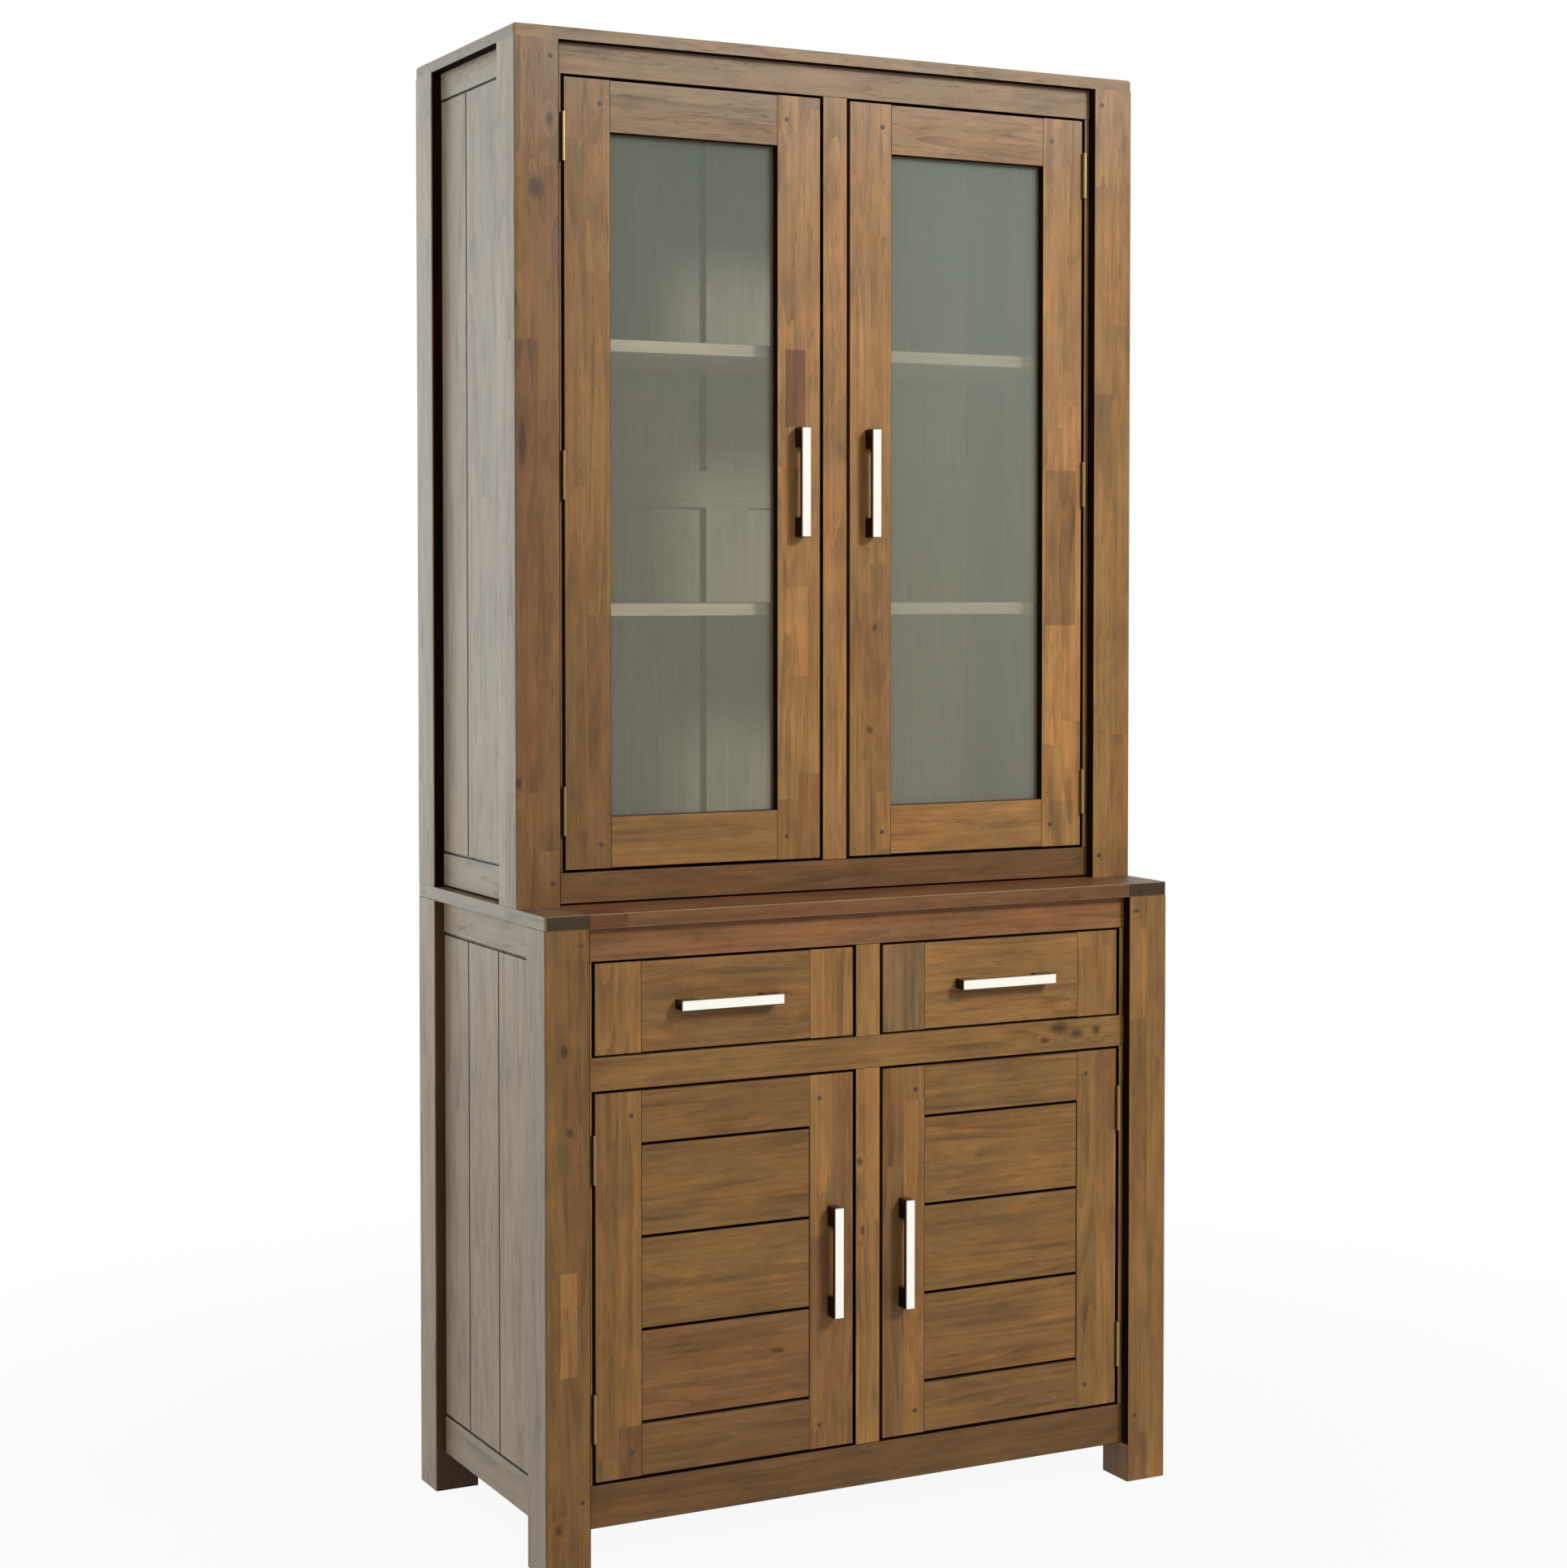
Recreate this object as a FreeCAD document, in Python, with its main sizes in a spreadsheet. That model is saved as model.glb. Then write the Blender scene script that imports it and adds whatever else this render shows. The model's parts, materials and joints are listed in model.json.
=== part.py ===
import FreeCAD
import Part
import Sketcher
import os

# A dresser with a glazed hutch, in millimetres: X to the right, Y to the back, Z up.
# The origin is on the floor, under the centre of the whole piece with its handles.
# The right half is drawn with positive X, and the left half is its mirror image.

# The driving sizes. Each row is the name, the value and what it measures.
SIZES = (
    ("cabinet_width", 905, "width over the posts, base and hutch"),
    ("base_depth", 445, "depth of the base over the posts"),
    ("base_height", 810, "floor to the top of the base"),
    ("hutch_depth", 354, "depth of the hutch over the posts"),
    ("hutch_height", 1090, "top of the base to the top of the hutch"),
    ("post_width", 60, "corner post, across the front"),
    ("post_depth", 60, "corner post, along the side"),
    ("post_ease", 1.5, "bevel of the posts' long edges"),
    ("edge_ease", 0.8, "bevel of the boards' long edges"),
    ("front_recess", 13, "doors and face frame behind the posts' fronts"),
    ("side_recess", 14, "side rails and planks behind the posts' outer faces"),
    ("frame_thickness", 20, "rails and stiles of the face frame"),
    ("tenon_thickness", 8, "tenons of the face frame and the doors"),
    ("tenon_length", 12, "tenons of the face frame"),
    ("tenon_shoulder", 8, "step above and below a tenon"),
    ("centre_stile_width", 36, "upright between the two doors"),
    ("hinge_stile_width", 7.5, "slim upright beside each post"),
    ("top_thickness", 18, "top of the base"),
    ("top_corner_bevel", 2.5, "corners of the base's top"),
    ("apron_height", 42, "rail over the drawers"),
    ("drawer_opening_height", 118, "opening of a drawer"),
    ("mid_rail_height", 42, "rail between the drawers and the doors"),
    ("base_bottom_rail_height", 54, "rail under the base's doors"),
    ("foot_height", 50, "feet below the lowest rails"),
    ("hutch_top_thickness", 16, "top of the hutch"),
    ("hutch_corner_radius", 5, "corners of the hutch's top"),
    ("hutch_rim_radius", 4, "upper rim of the hutch's top"),
    ("hutch_top_rail_height", 40, "rail over the glazed doors"),
    ("hutch_bottom_rail_height", 39.5, "rail under the glazed doors"),
    ("hutch_lift", 2, "lowest rails of the hutch above the base"),
    ("side_rail_thickness", 20, "rails of the sides"),
    ("base_side_top_rail_height", 43, "upper side rail of the base"),
    ("base_side_bottom_rail_height", 51, "lower side rail of the base"),
    ("hutch_side_top_rail_height", 36, "upper side rail of the hutch"),
    ("hutch_side_bottom_rail_height", 43, "lower side rail of the hutch"),
    ("plank_thickness", 12, "upright planks of the sides"),
    ("rear_plank_width", 91, "plank beside each rear post"),
    ("middle_plank_width", 106, "second plank of the base's sides"),
    ("shadow_gap", 3, "open joint between a rail and a plank or slat"),
    ("plank_gap", 2, "open joint between two planks"),
    ("tongue_thickness", 6, "tongues of rails, planks and slats"),
    ("tongue_length", 10, "depth of the grooves"),
    ("tongue_shoulder", 3, "face of a plank in front of its tongue"),
    ("swelling_gap", 1, "room at the end of a tongue for the wood to swell"),
    ("back_inset", 2, "back frame inside the posts' back faces"),
    ("back_frame_thickness", 18, "rails and stile of the back"),
    ("back_board_thickness", 6, "thin boards of the back"),
    ("back_rail_height", 51, "rails of the back"),
    ("back_stile_width", 66, "upright in the middle of the back"),
    ("hutch_back_rail_bottom", 509, "middle back rail above the top of the base"),
    ("base_back_rail_bottom", 590, "middle back rail above the floor"),
    ("floor_thickness", 12, "floors of the base and the hutch"),
    ("shelf_thickness", 16, "shelves"),
    ("shelf_setback", 12, "shelves behind the doors"),
    ("shelf_clearance", 1, "shelf ends from the posts"),
    ("base_shelf_height", 345, "top of the base's shelf above the floor"),
    ("lower_shelf_height", 377, "top of the hutch's lower shelf above the base"),
    ("upper_shelf_height", 712, "top of the hutch's upper shelf above the base"),
    ("pin_radius", 2.5, "shelf pins"),
    ("pin_depth", 10, "shelf pin inside its post"),
    ("pin_reach", 9, "shelf pin under its shelf"),
    ("pin_inset", 9, "shelf pin from the inner corner of its post"),
    ("pin_blade", 2, "flat blade of a shelf pin"),
    ("pin_blade_width", 8, "flat blade of a shelf pin, across"),
    ("door_thickness", 20, "all four doors"),
    ("door_clearance", 3, "gap over and under a door"),
    ("door_stile_width", 63, "uprights of the doors, ends of the drawer fronts"),
    ("door_rail_height", 65, "rails of the doors"),
    ("door_tenon_length", 26, "tenons of the doors' rails"),
    ("glass_lip", 11, "wood in front of the glass"),
    ("glass_thickness", 4, "pane"),
    ("rebate_width", 9, "rebate that holds the pane"),
    ("glass_clearance", 1, "pane inside its rebate"),
    ("slat_thickness", 16, "slats of the base's doors"),
    ("slat_recess", 1, "slats behind the face of their door"),
    ("slat_side_gap", 0.6, "open joint between a slat and a stile"),
    ("leaf_thickness", 1.5, "hinge leaf"),
    ("leaf_clearance", 0.5, "between the leaves of a closed hinge"),
    ("leaf_width", 16, "hinge leaf behind the face of the door"),
    ("hinge_length", 61, "hinge, top to bottom"),
    ("knuckle_radius", 3, "hinge barrel"),
    ("knuckle_gap", 0.2, "between two knuckles"),
    ("hinge_pin_radius", 1.5, "hinge pin"),
    ("hinge_pin_clearance", 0.12, "around the hinge pin, at the corners of its bore"),
    ("hinge_face_clearance", 0.4, "barrel in front of the wood"),
    ("glazed_hinge_inset", 74, "outer hinges from the ends of a glazed door"),
    ("base_hinge_inset", 80, "hinges from the ends of a base door"),
    ("handle_length", 142, "bar handle, end to end"),
    ("handle_width", 13, "bar handle, across"),
    ("handle_projection", 21, "bar handle in front of the wood"),
    ("handle_bar_thickness", 7, "bar in front of the fingers"),
    ("handle_foot_length", 26, "solid foot at each end of a handle"),
    ("handle_ease", 0.8, "bevel of a handle's edges"),
    ("handle_inset", 30.5, "door handle's centre from the edge of its door"),
    ("glazed_handle_drop", 4, "handle below the middle of a glazed door"),
    ("catch_offset", 40, "magnetic catch from the centre upright"),
    ("catch_width", 40, "magnetic catch"),
    ("catch_depth", 16, "magnetic catch behind the frame"),
    ("catch_reach", 12, "magnetic catch in front of its strike plate"),
    ("catch_mount", 13, "part of the catch that is screwed to the rail"),
    ("strike_thickness", 1.5, "steel plate on the door"),
    ("strike_width", 34, "steel plate, across"),
    ("strike_clearance", 0.5, "between the catch and its plate"),
    ("dowel_radius", 5, "dowels between hutch and base"),
    ("dowel_depth", 15, "dowel in each of its two holes"),
    ("dowel_clearance", 0.1, "around a dowel"),
    ("drawer_gap", 2.5, "gap over and under a drawer front"),
    ("drawer_length", 380, "drawer, front to back"),
    ("drawer_side_height", 108, "drawer sides"),
    ("drawer_side_thickness", 12, "drawer sides and back"),
    ("drawer_lap", 7, "wood of the drawer front over its dovetails"),
    ("drawer_tongue", 10, "tongues between the parts of a drawer front"),
    ("drawer_back_inset", 12, "drawer back from the ends of the sides"),
    ("drawer_housing", 5, "groove in the sides for the drawer's back"),
    ("drawer_bottom_thickness", 5, "drawer bottom"),
    ("drawer_bottom_lift", 8, "drawer bottom above the sides' lower edges"),
    ("drawer_groove", 6, "groove for the drawer's bottom"),
    ("tail_root", 0.5, "share of the pitch that a dovetail's root takes"),
    ("tail_tip", 0.74, "share of the pitch that a dovetail's tip takes"),
    ("slide_clearance", 0.3, "drawer above its runner"),
    ("kicker_clearance", 1.5, "drawer sides under the kickers"),
    ("guide_clearance", 1, "drawer sides between their guides"),
    ("runner_ledge", 20, "runner under a drawer side"),
    ("runner_thickness", 20, "runners and kickers, top to bottom"),
)

# Places that follow from the sizes. Each row is the name and its formula.
PLACES = (
    ("half_width", "cabinet_width / 2"),
    ("post_inner", "half_width - post_width"),
    ("handle_proud", "handle_projection - front_recess"),
    ("back_face", "(base_depth + handle_proud) / 2"),
    ("base_front", "back_face - base_depth"),
    ("hutch_front", "back_face - hutch_depth"),
    ("base_face", "base_front + front_recess"),
    ("hutch_face", "hutch_front + front_recess"),
    ("base_frame_back", "base_face + frame_thickness"),
    ("hutch_frame_back", "hutch_face + frame_thickness"),
    ("base_post_back", "base_front + post_depth"),
    ("hutch_post_back", "hutch_front + post_depth"),
    ("rear_post_front", "back_face - post_depth"),
    ("side_face", "half_width - side_recess"),
    ("side_rail_inner", "side_face - side_rail_thickness"),
    ("plank_inner", "side_face - plank_thickness"),
    ("tongue_outer", "side_face - tongue_shoulder"),
    ("tongue_inner", "tongue_outer - tongue_thickness"),
    ("tongue_reach", "tongue_length - swelling_gap"),
    ("centre_half", "centre_stile_width / 2"),
    ("opening_side", "post_inner - hinge_stile_width"),
    ("hinge_gap", "2 * leaf_thickness + leaf_clearance"),
    ("door_outer", "opening_side - hinge_gap"),
    ("door_inner", "centre_half + hinge_gap"),
    ("base_post_top", "base_height - top_thickness"),
    ("drawer_opening_top", "base_post_top - apron_height"),
    ("drawer_opening_bottom", "drawer_opening_top - drawer_opening_height"),
    ("base_opening_top", "drawer_opening_bottom - mid_rail_height"),
    ("base_opening_bottom", "foot_height + base_bottom_rail_height"),
    ("overall_height", "base_height + hutch_height"),
    ("hutch_post_top", "overall_height - hutch_top_thickness"),
    ("hutch_opening_top", "hutch_post_top - hutch_top_rail_height"),
    ("hutch_rail_bottom", "base_height + hutch_lift"),
    ("hutch_opening_bottom", "hutch_rail_bottom + hutch_bottom_rail_height"),
    ("base_floor_bottom", "foot_height + base_side_bottom_rail_height"),
    ("base_floor_top", "base_floor_bottom + floor_thickness"),
    ("hutch_floor_bottom", "hutch_rail_bottom + hutch_side_bottom_rail_height"),
    ("hutch_floor_top", "hutch_floor_bottom + floor_thickness"),
    ("back_frame_back", "back_face - back_inset"),
    ("back_frame_front", "back_frame_back - back_frame_thickness"),
    ("back_groove_front", "back_frame_front + (back_frame_thickness - back_board_thickness) / 2"),
    ("back_groove_back", "back_groove_front + back_board_thickness"),
    ("back_stile_half", "back_stile_width / 2"),
    ("base_door_bottom", "base_opening_bottom + door_clearance"),
    ("base_door_top", "base_opening_top - door_clearance"),
    ("glazed_door_bottom", "hutch_opening_bottom + door_clearance"),
    ("glazed_door_top", "hutch_opening_top - door_clearance"),
    ("stile_inner", "door_inner + door_stile_width"),
    ("stile_outer", "door_outer - door_stile_width"),
    ("hinge_axis_x", "door_outer + hinge_gap / 2"),
    ("hinge_axis_offset", "knuckle_radius + hinge_face_clearance"),
    ("hinge_bore", "hinge_pin_radius + hinge_pin_clearance"),
    ("drawer_bottom_edge", "drawer_opening_bottom + drawer_gap"),
    ("drawer_top_edge", "drawer_opening_top - drawer_gap"),
    ("drawer_end", "base_face + drawer_length"),
    ("drawer_tail_front", "base_face + drawer_lap"),
    ("drawer_panel_bottom", "drawer_bottom_edge + drawer_bottom_lift"),
    ("drawer_panel_top", "drawer_panel_bottom + drawer_bottom_thickness"),
    ("runner_top", "drawer_bottom_edge - slide_clearance"),
    ("kicker_bottom", "drawer_bottom_edge + drawer_side_height + kicker_clearance"),
)

# How often a thing repeats.
TAILS = 4
KNUCKLES = 3
SLATS = 3
ROUND_SIDES = 10

document = FreeCAD.newDocument("dresser")
document.addObject("Spreadsheet::Sheet", "sizes")
document.addObject("Spreadsheet::Sheet", "places")
owner = {}
sub_parts = []


# ---------------------------------------------------------------- sheets and formulas

def formula(text, home=""):
    """Put the owning sheet's name before each alias of a formula."""
    for sign in "+-*/()":
        text = text.replace(sign, " " + sign + " ")
    words = []
    for word in text.split():
        sheet = owner.get(word, "")
        words.append(sheet + "." + word if sheet not in ("", home) else word)
    return " ".join(words)


def fill_sheets():
    """Write the driving sizes as plain numbers, and the places as formulas."""
    for row, (name, number, meaning) in enumerate(SIZES, 1):
        document.sizes.set("A%d" % row, name)
        document.sizes.set("B%d" % row, str(number))
        document.sizes.set("C%d" % row, meaning)
        document.sizes.setAlias("B%d" % row, name)
        owner[name] = "sizes"
    for name, text in PLACES:
        owner[name] = "places"
    for row, (name, text) in enumerate(PLACES, 1):
        document.places.set("A%d" % row, name)
        document.places.set("B%d" % row, "=" + formula(text, "places"))
        document.places.setAlias("B%d" % row, name)
    document.recompute()


def value(text):
    """The number that a formula gives now."""
    return float(document.places.evalExpression(formula(text)))


def bind(thing, name, text):
    thing.setExpression(name, formula(text))


# ---------------------------------------------------------------- kinds of piece

def block(name, x, y, z):
    """A plain box between two corners, each axis given as a pair of formulas."""
    box = document.addObject("Part::Box", name)
    for side, axis, (low, high) in zip(("Length", "Width", "Height"), "xyz", (x, y, z)):
        bind(box, side, "(%s) - (%s)" % (high, low))
        bind(box, ".Placement.Base." + axis, low)
    return box


def rod(name, radius, x, y, z):
    """A small round bar along Z between two heights, drawn with a few flat sides."""
    prism = document.addObject("Part::Prism", name)
    prism.Polygon = ROUND_SIDES
    bind(prism, "Circumradius", radius)
    bind(prism, "Height", "(%s) - (%s)" % (z[1], z[0]))
    for axis, text in zip("xyz", (x, y, z[0])):
        bind(prism, ".Placement.Base." + axis, text)
    return prism


def cross_rod(name, radius, x, y, z):
    """The same along X, between two places on that axis."""
    prism = rod(name, radius, x[0], y, (z, "%s + (%s) - (%s)" % (z, x[1], x[0])))
    prism.Placement.Rotation = FreeCAD.Rotation(FreeCAD.Vector(0, 1, 0), 90)
    return prism


def base_plane(body, role):
    return [plane for plane in body.Origin.OriginFeatures if plane.Role == role][0]


def edges_along(shape, direction):
    """Names of the straight edges of a shape that run along a direction."""
    names = []
    for number, edge in enumerate(shape.Edges, 1):
        if len(edge.Vertexes) == 2 and edge.tangentAt(edge.FirstParameter).cross(direction).Length < 1e-6:
            names.append("Edge%d" % number)
    return names


def outer_edges(shape, direction):
    """Those of the edges along a direction that lie at the right-hand end of the dresser."""
    limit = shape.BoundBox.XMax - 1e-3
    return [name for name in edges_along(shape, direction) if shape.getElement(name).BoundBox.XMax > limit]


def soften(body, feature, names, width, suffix="_ease"):
    """Take the sharpness off the named edges with a narrow bevel."""
    bevel = body.newObject("PartDesign::Chamfer", body.Name + suffix)
    bevel.Base = (feature, names)
    bind(bevel, "Size", width)
    body.Tip = bevel
    return bevel


def upper_edges(shape):
    """Those of the edges that lie round the top of a shape."""
    limit = shape.BoundBox.ZMax - 1e-3
    return ["Edge%d" % number for number, edge in enumerate(shape.Edges, 1) if edge.BoundBox.ZMin > limit]


def round_off(body, feature, names, radius, suffix="_corners"):
    """Round the named edges."""
    fillet = body.newObject("PartDesign::Fillet", body.Name + suffix)
    fillet.Base = (feature, names)
    bind(fillet, "Radius", radius)
    body.Tip = fillet
    return fillet


def timber(name, x, y, z):
    """A body that holds one plain box. Gives the body and its box."""
    body = document.addObject("PartDesign::Body", name)
    stock = body.newObject("PartDesign::AdditiveBox", name + "_stock")
    stock.AttachmentSupport = [(base_plane(body, "XY_Plane"), "")]
    stock.MapMode = "FlatFace"
    for side, axis, (low, high) in zip(("Length", "Width", "Height"), "xyz", (x, y, z)):
        bind(stock, side, "(%s) - (%s)" % (high, low))
        bind(stock, ".AttachmentOffset.Base." + axis, low)
    document.recompute()
    return body, stock


def bar(name, x, y, z, grain, ease="edge_ease"):
    """A board or post whose long edges, those along the grain, are eased."""
    body, stock = timber(name, x, y, z)
    direction = FreeCAD.Vector(*(float(axis == grain) for axis in "xyz"))
    soften(body, stock, edges_along(stock.Shape, direction), ease)
    return body


def outline(body, name, plane, offset, points):
    """A closed sketch through points, each a pair of formulas, on a plane of the body's origin."""
    sketch = body.newObject("Sketcher::SketchObject", name)
    sketch.AttachmentSupport = [(base_plane(body, plane), "")]
    sketch.MapMode = "FlatFace"
    bind(sketch, ".AttachmentOffset.Base.z", offset)
    corners = [FreeCAD.Vector(value(u), value(v), 0) for u, v in points]
    for start, end in zip(corners, corners[1:] + corners[:1]):
        sketch.addGeometry(Part.LineSegment(start, end))
    count = len(points)
    for line, (u, v) in enumerate(points):
        sketch.addConstraint(Sketcher.Constraint("Coincident", line - 1 if line else count - 1, 2, line, 1))
        for kind, text in (("DistanceX", u), ("DistanceY", v)):
            number = sketch.addConstraint(Sketcher.Constraint(kind, -1, 1, line, 1, value(text)))
            sketch.setExpression("Constraints[%d]" % number, formula(text))
    return sketch


def slab(name, plane, offset, thickness, points):
    """A plate of any outline, pushed out from a plane by its thickness."""
    body = document.addObject("PartDesign::Body", name)
    sketch = outline(body, name + "_outline", plane, offset, points)
    pad = body.newObject("PartDesign::Pad", name + "_pad")
    pad.Profile = sketch
    bind(pad, "Length", thickness)
    body.Tip = pad
    return body


def joined(name, pieces):
    """Pieces glued into one."""
    fusion = document.addObject("Part::MultiFuse", name)
    fusion.Shapes = pieces
    fusion.Refine = True
    return fusion


def set_of(name, pieces):
    """Separate pieces that share a name."""
    compound = document.addObject("Part::Compound", name)
    compound.Links = pieces
    return compound


def cut(name, stock, tools):
    """A piece with joints and openings cut from it."""
    result = document.addObject("Part::Cut", name)
    result.Base = stock
    result.Tool = tools[0] if len(tools) == 1 else set_of(name + "_cutters", tools)
    result.Refine = True
    return result


def mirrored(name, piece):
    """The same piece on the left half of the dresser."""
    copy = document.addObject("Part::Mirroring", name)
    copy.Source = piece
    copy.Normal = FreeCAD.Vector(1, 0, 0)
    return copy


def keep(label, piece):
    """Name a finished sub-part."""
    piece.Label = label
    sub_parts.append(piece)


def keep_pair(label, piece):
    """Name a sub-part of the right half and its mirror image on the left."""
    keep(label + "_right", piece)
    keep(label + "_left", mirrored(label + "_left", piece))


def both_sides(name, pieces):
    """Pieces of the right half with their mirror images."""
    return pieces + [mirrored("%s_mirror_%d" % (name, number), piece) for number, piece in enumerate(pieces)]


# ---------------------------------------------------------------- sides

SIDE_TONGUE = ("tongue_inner", "tongue_outer")


def side_rail(name, y, z, groove_z):
    """A rail between two posts, tongued at its ends and grooved along one edge for the planks."""
    body = bar(name + "_body", ("side_rail_inner", "side_face"), y, z, "y")
    tongue_y = (y[0] + " - tongue_length", y[1] + " + tongue_length")
    tongue = block(name + "_tongue", SIDE_TONGUE, tongue_y, z)
    groove = block(name + "_groove", SIDE_TONGUE, tongue_y, groove_z)
    return cut(name, joined(name + "_whole", [body, tongue]), [groove])


def side_planks(name, front, back, bottom, top, joints):
    """Upright planks between two rails, each tongued into the next and into the frame."""
    faces = [back + " - plank_gap / 2"]
    for joint in joints:
        faces += [joint + " + plank_gap / 2", joint + " - plank_gap / 2"]
    faces.append(front + " + plank_gap / 2")
    body_z = (bottom + " + shadow_gap", top + " - shadow_gap")
    tongue_z = (bottom + " - tongue_reach", top + " + tongue_reach")
    planks = []
    for number in range(len(joints) + 1):
        rear_face, front_face = faces[2 * number], faces[2 * number + 1]
        first = number == 0
        last = number == len(joints)
        plank = "%s_%d" % (name, number)
        tongue_rear = back + " + tongue_reach" if first else rear_face
        tongue_front = front + " - tongue_reach" if last else front_face + " - tongue_reach"
        body = bar(plank + "_body", ("plank_inner", "side_face"), (front_face, rear_face), body_z, "z")
        tongue = block(plank + "_tongue", SIDE_TONGUE, (tongue_front, tongue_rear), tongue_z)
        whole = joined(plank + "_whole", [body, tongue])
        if first:
            planks.append(whole)
        else:
            groove = block(plank + "_groove", SIDE_TONGUE, (rear_face + " - tongue_length", rear_face), tongue_z)
            planks.append(cut(plank, whole, [groove]))
    return planks


def make_side(prefix, front_post_back, bottom, top, bottom_rail, top_rail, joints):
    """Both sides of the base or the hutch, and the groove that they need in the posts."""
    y = (front_post_back, "rear_post_front")
    inner_bottom = bottom + " + " + bottom_rail
    inner_top = top + " - " + top_rail
    lower = side_rail(prefix + "_side_rail_lower", y, (bottom, inner_bottom),
                      (inner_bottom + " - tongue_length", inner_bottom))
    upper = side_rail(prefix + "_side_rail_upper", y, (inner_top, top),
                      (inner_top, inner_top + " + tongue_length"))
    planks = side_planks(prefix + "_plank", y[0], y[1], inner_bottom, inner_top, joints)
    keep(prefix + "_side_rails", set_of(prefix + "_side_rails", both_sides(prefix + "_side_rail", [lower, upper])))
    keep(prefix + "_side_planks", set_of(prefix + "_side_planks", both_sides(prefix + "_side_plank", planks)))


def side_groove(name, post_y, bottom, top):
    """The groove of a right-hand post for the side's rails and planks."""
    return block(name, SIDE_TONGUE, post_y, (bottom, top))


# ---------------------------------------------------------------- face frames

def frame_tenon_y(face):
    shoulder = "(frame_thickness - tenon_thickness) / 2"
    return (face + " + " + shoulder, face + " + " + shoulder + " + tenon_thickness")


def front_rail(name, face, z):
    """A rail between the front posts, and the tenons that go into them."""
    body = bar(name + "_body", ("-post_inner", "post_inner"), (face, face + " + frame_thickness"), z, "x")
    tenon_z = (z[0] + " + tenon_shoulder", z[1] + " - tenon_shoulder")
    tenon_y = frame_tenon_y(face)
    right = block(name + "_tenon_right", ("post_inner", "post_inner + tenon_length"), tenon_y, tenon_z)
    left = block(name + "_tenon_left", ("-post_inner - tenon_length", "-post_inner"), tenon_y, tenon_z)
    return joined(name + "_whole", [body, left, right]), right


def centre_stile(name, face, z):
    """The upright between two openings, and its stub tenons in the rails above and below."""
    half = "centre_half - tenon_shoulder"
    y = (face, face + " + frame_thickness")
    body = bar(name + "_body", ("-centre_half", "centre_half"), y, z, "z")
    tenons = []
    for end, span in (("foot", (z[0] + " - tenon_length", z[0])), ("head", (z[1], z[1] + " + tenon_length"))):
        tenons.append(block("%s_%s" % (name, end), ("-(%s)" % half, half), frame_tenon_y(face), span))
    return joined(name, [body] + tenons), tenons


def hinge_stile(name, face, z):
    """The slim upright on the post, which carries the hinges."""
    return bar(name, ("opening_side", "post_inner"), (face, face + " + frame_thickness"), z, "z")


def make_base_frame():
    """Rails and uprights round the drawers and the doors of the base. Gives the posts' mortises."""
    apron, apron_tenon = front_rail("apron", "base_face", ("drawer_opening_top", "base_post_top"))
    middle, middle_tenon = front_rail("mid_rail", "base_face", ("base_opening_top", "drawer_opening_bottom"))
    bottom, bottom_tenon = front_rail("base_bottom_rail", "base_face", ("foot_height", "base_opening_bottom"))
    drawer_z = ("drawer_opening_bottom", "drawer_opening_top")
    door_z = ("base_opening_bottom", "base_opening_top")
    upper, (upper_foot, upper_head) = centre_stile("drawer_stile", "base_face", drawer_z)
    lower, (lower_foot, lower_head) = centre_stile("door_stile", "base_face", door_z)
    rails = [
        cut("apron", apron, [upper_head]),
        cut("mid_rail", middle, [upper_foot, lower_head]),
        cut("base_bottom_rail", bottom, [lower_foot]),
    ]
    slim = [hinge_stile("drawer_hinge_stile", "base_face", drawer_z),
            hinge_stile("door_hinge_stile", "base_face", door_z)]
    keep("base_front_rails", set_of("base_front_rails", rails))
    keep("base_front_stiles", set_of("base_front_stiles", [upper, lower] + both_sides("base_slim", slim)))
    return [apron_tenon, middle_tenon, bottom_tenon]


def make_hutch_frame():
    """Rails and uprights round the glazed doors. Gives the posts' mortises."""
    top, top_tenon = front_rail("hutch_top_rail", "hutch_face", ("hutch_opening_top", "hutch_post_top"))
    bottom, bottom_tenon = front_rail("hutch_bottom_rail", "hutch_face",
                                      ("hutch_rail_bottom", "hutch_opening_bottom"))
    door_z = ("hutch_opening_bottom", "hutch_opening_top")
    mullion, (foot, head) = centre_stile("mullion", "hutch_face", door_z)
    rails = [cut("hutch_top_rail", top, [head]), cut("hutch_bottom_rail", bottom, [foot])]
    slim = [hinge_stile("hutch_hinge_stile", "hutch_face", door_z)]
    keep("hutch_front_rails", set_of("hutch_front_rails", rails))
    keep("hutch_front_stiles", set_of("hutch_front_stiles", [mullion] + both_sides("hutch_slim", slim)))
    return [top_tenon, bottom_tenon]


# ---------------------------------------------------------------- backs

BACK_Y = ("back_frame_front", "back_frame_back")
BACK_GROOVE = ("back_groove_front", "back_groove_back")


def back_rail(name, z, grooves):
    """A rail between the rear posts, grooved above or below for the thin boards."""
    body = block(name + "_body", ("-post_inner", "post_inner"), BACK_Y, z)
    tongue_x = ("-post_inner - tongue_length", "post_inner + tongue_length")
    tongue = block(name + "_tongue", tongue_x, BACK_GROOVE, z)
    spans = {"below": (z[0], z[0] + " + tongue_length"), "above": (z[1] + " - tongue_length", z[1])}
    cutters = [block("%s_groove_%s" % (name, side), tongue_x, BACK_GROOVE, spans[side]) for side in grooves]
    return cut(name, joined(name + "_whole", [body, tongue]), cutters)


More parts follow.
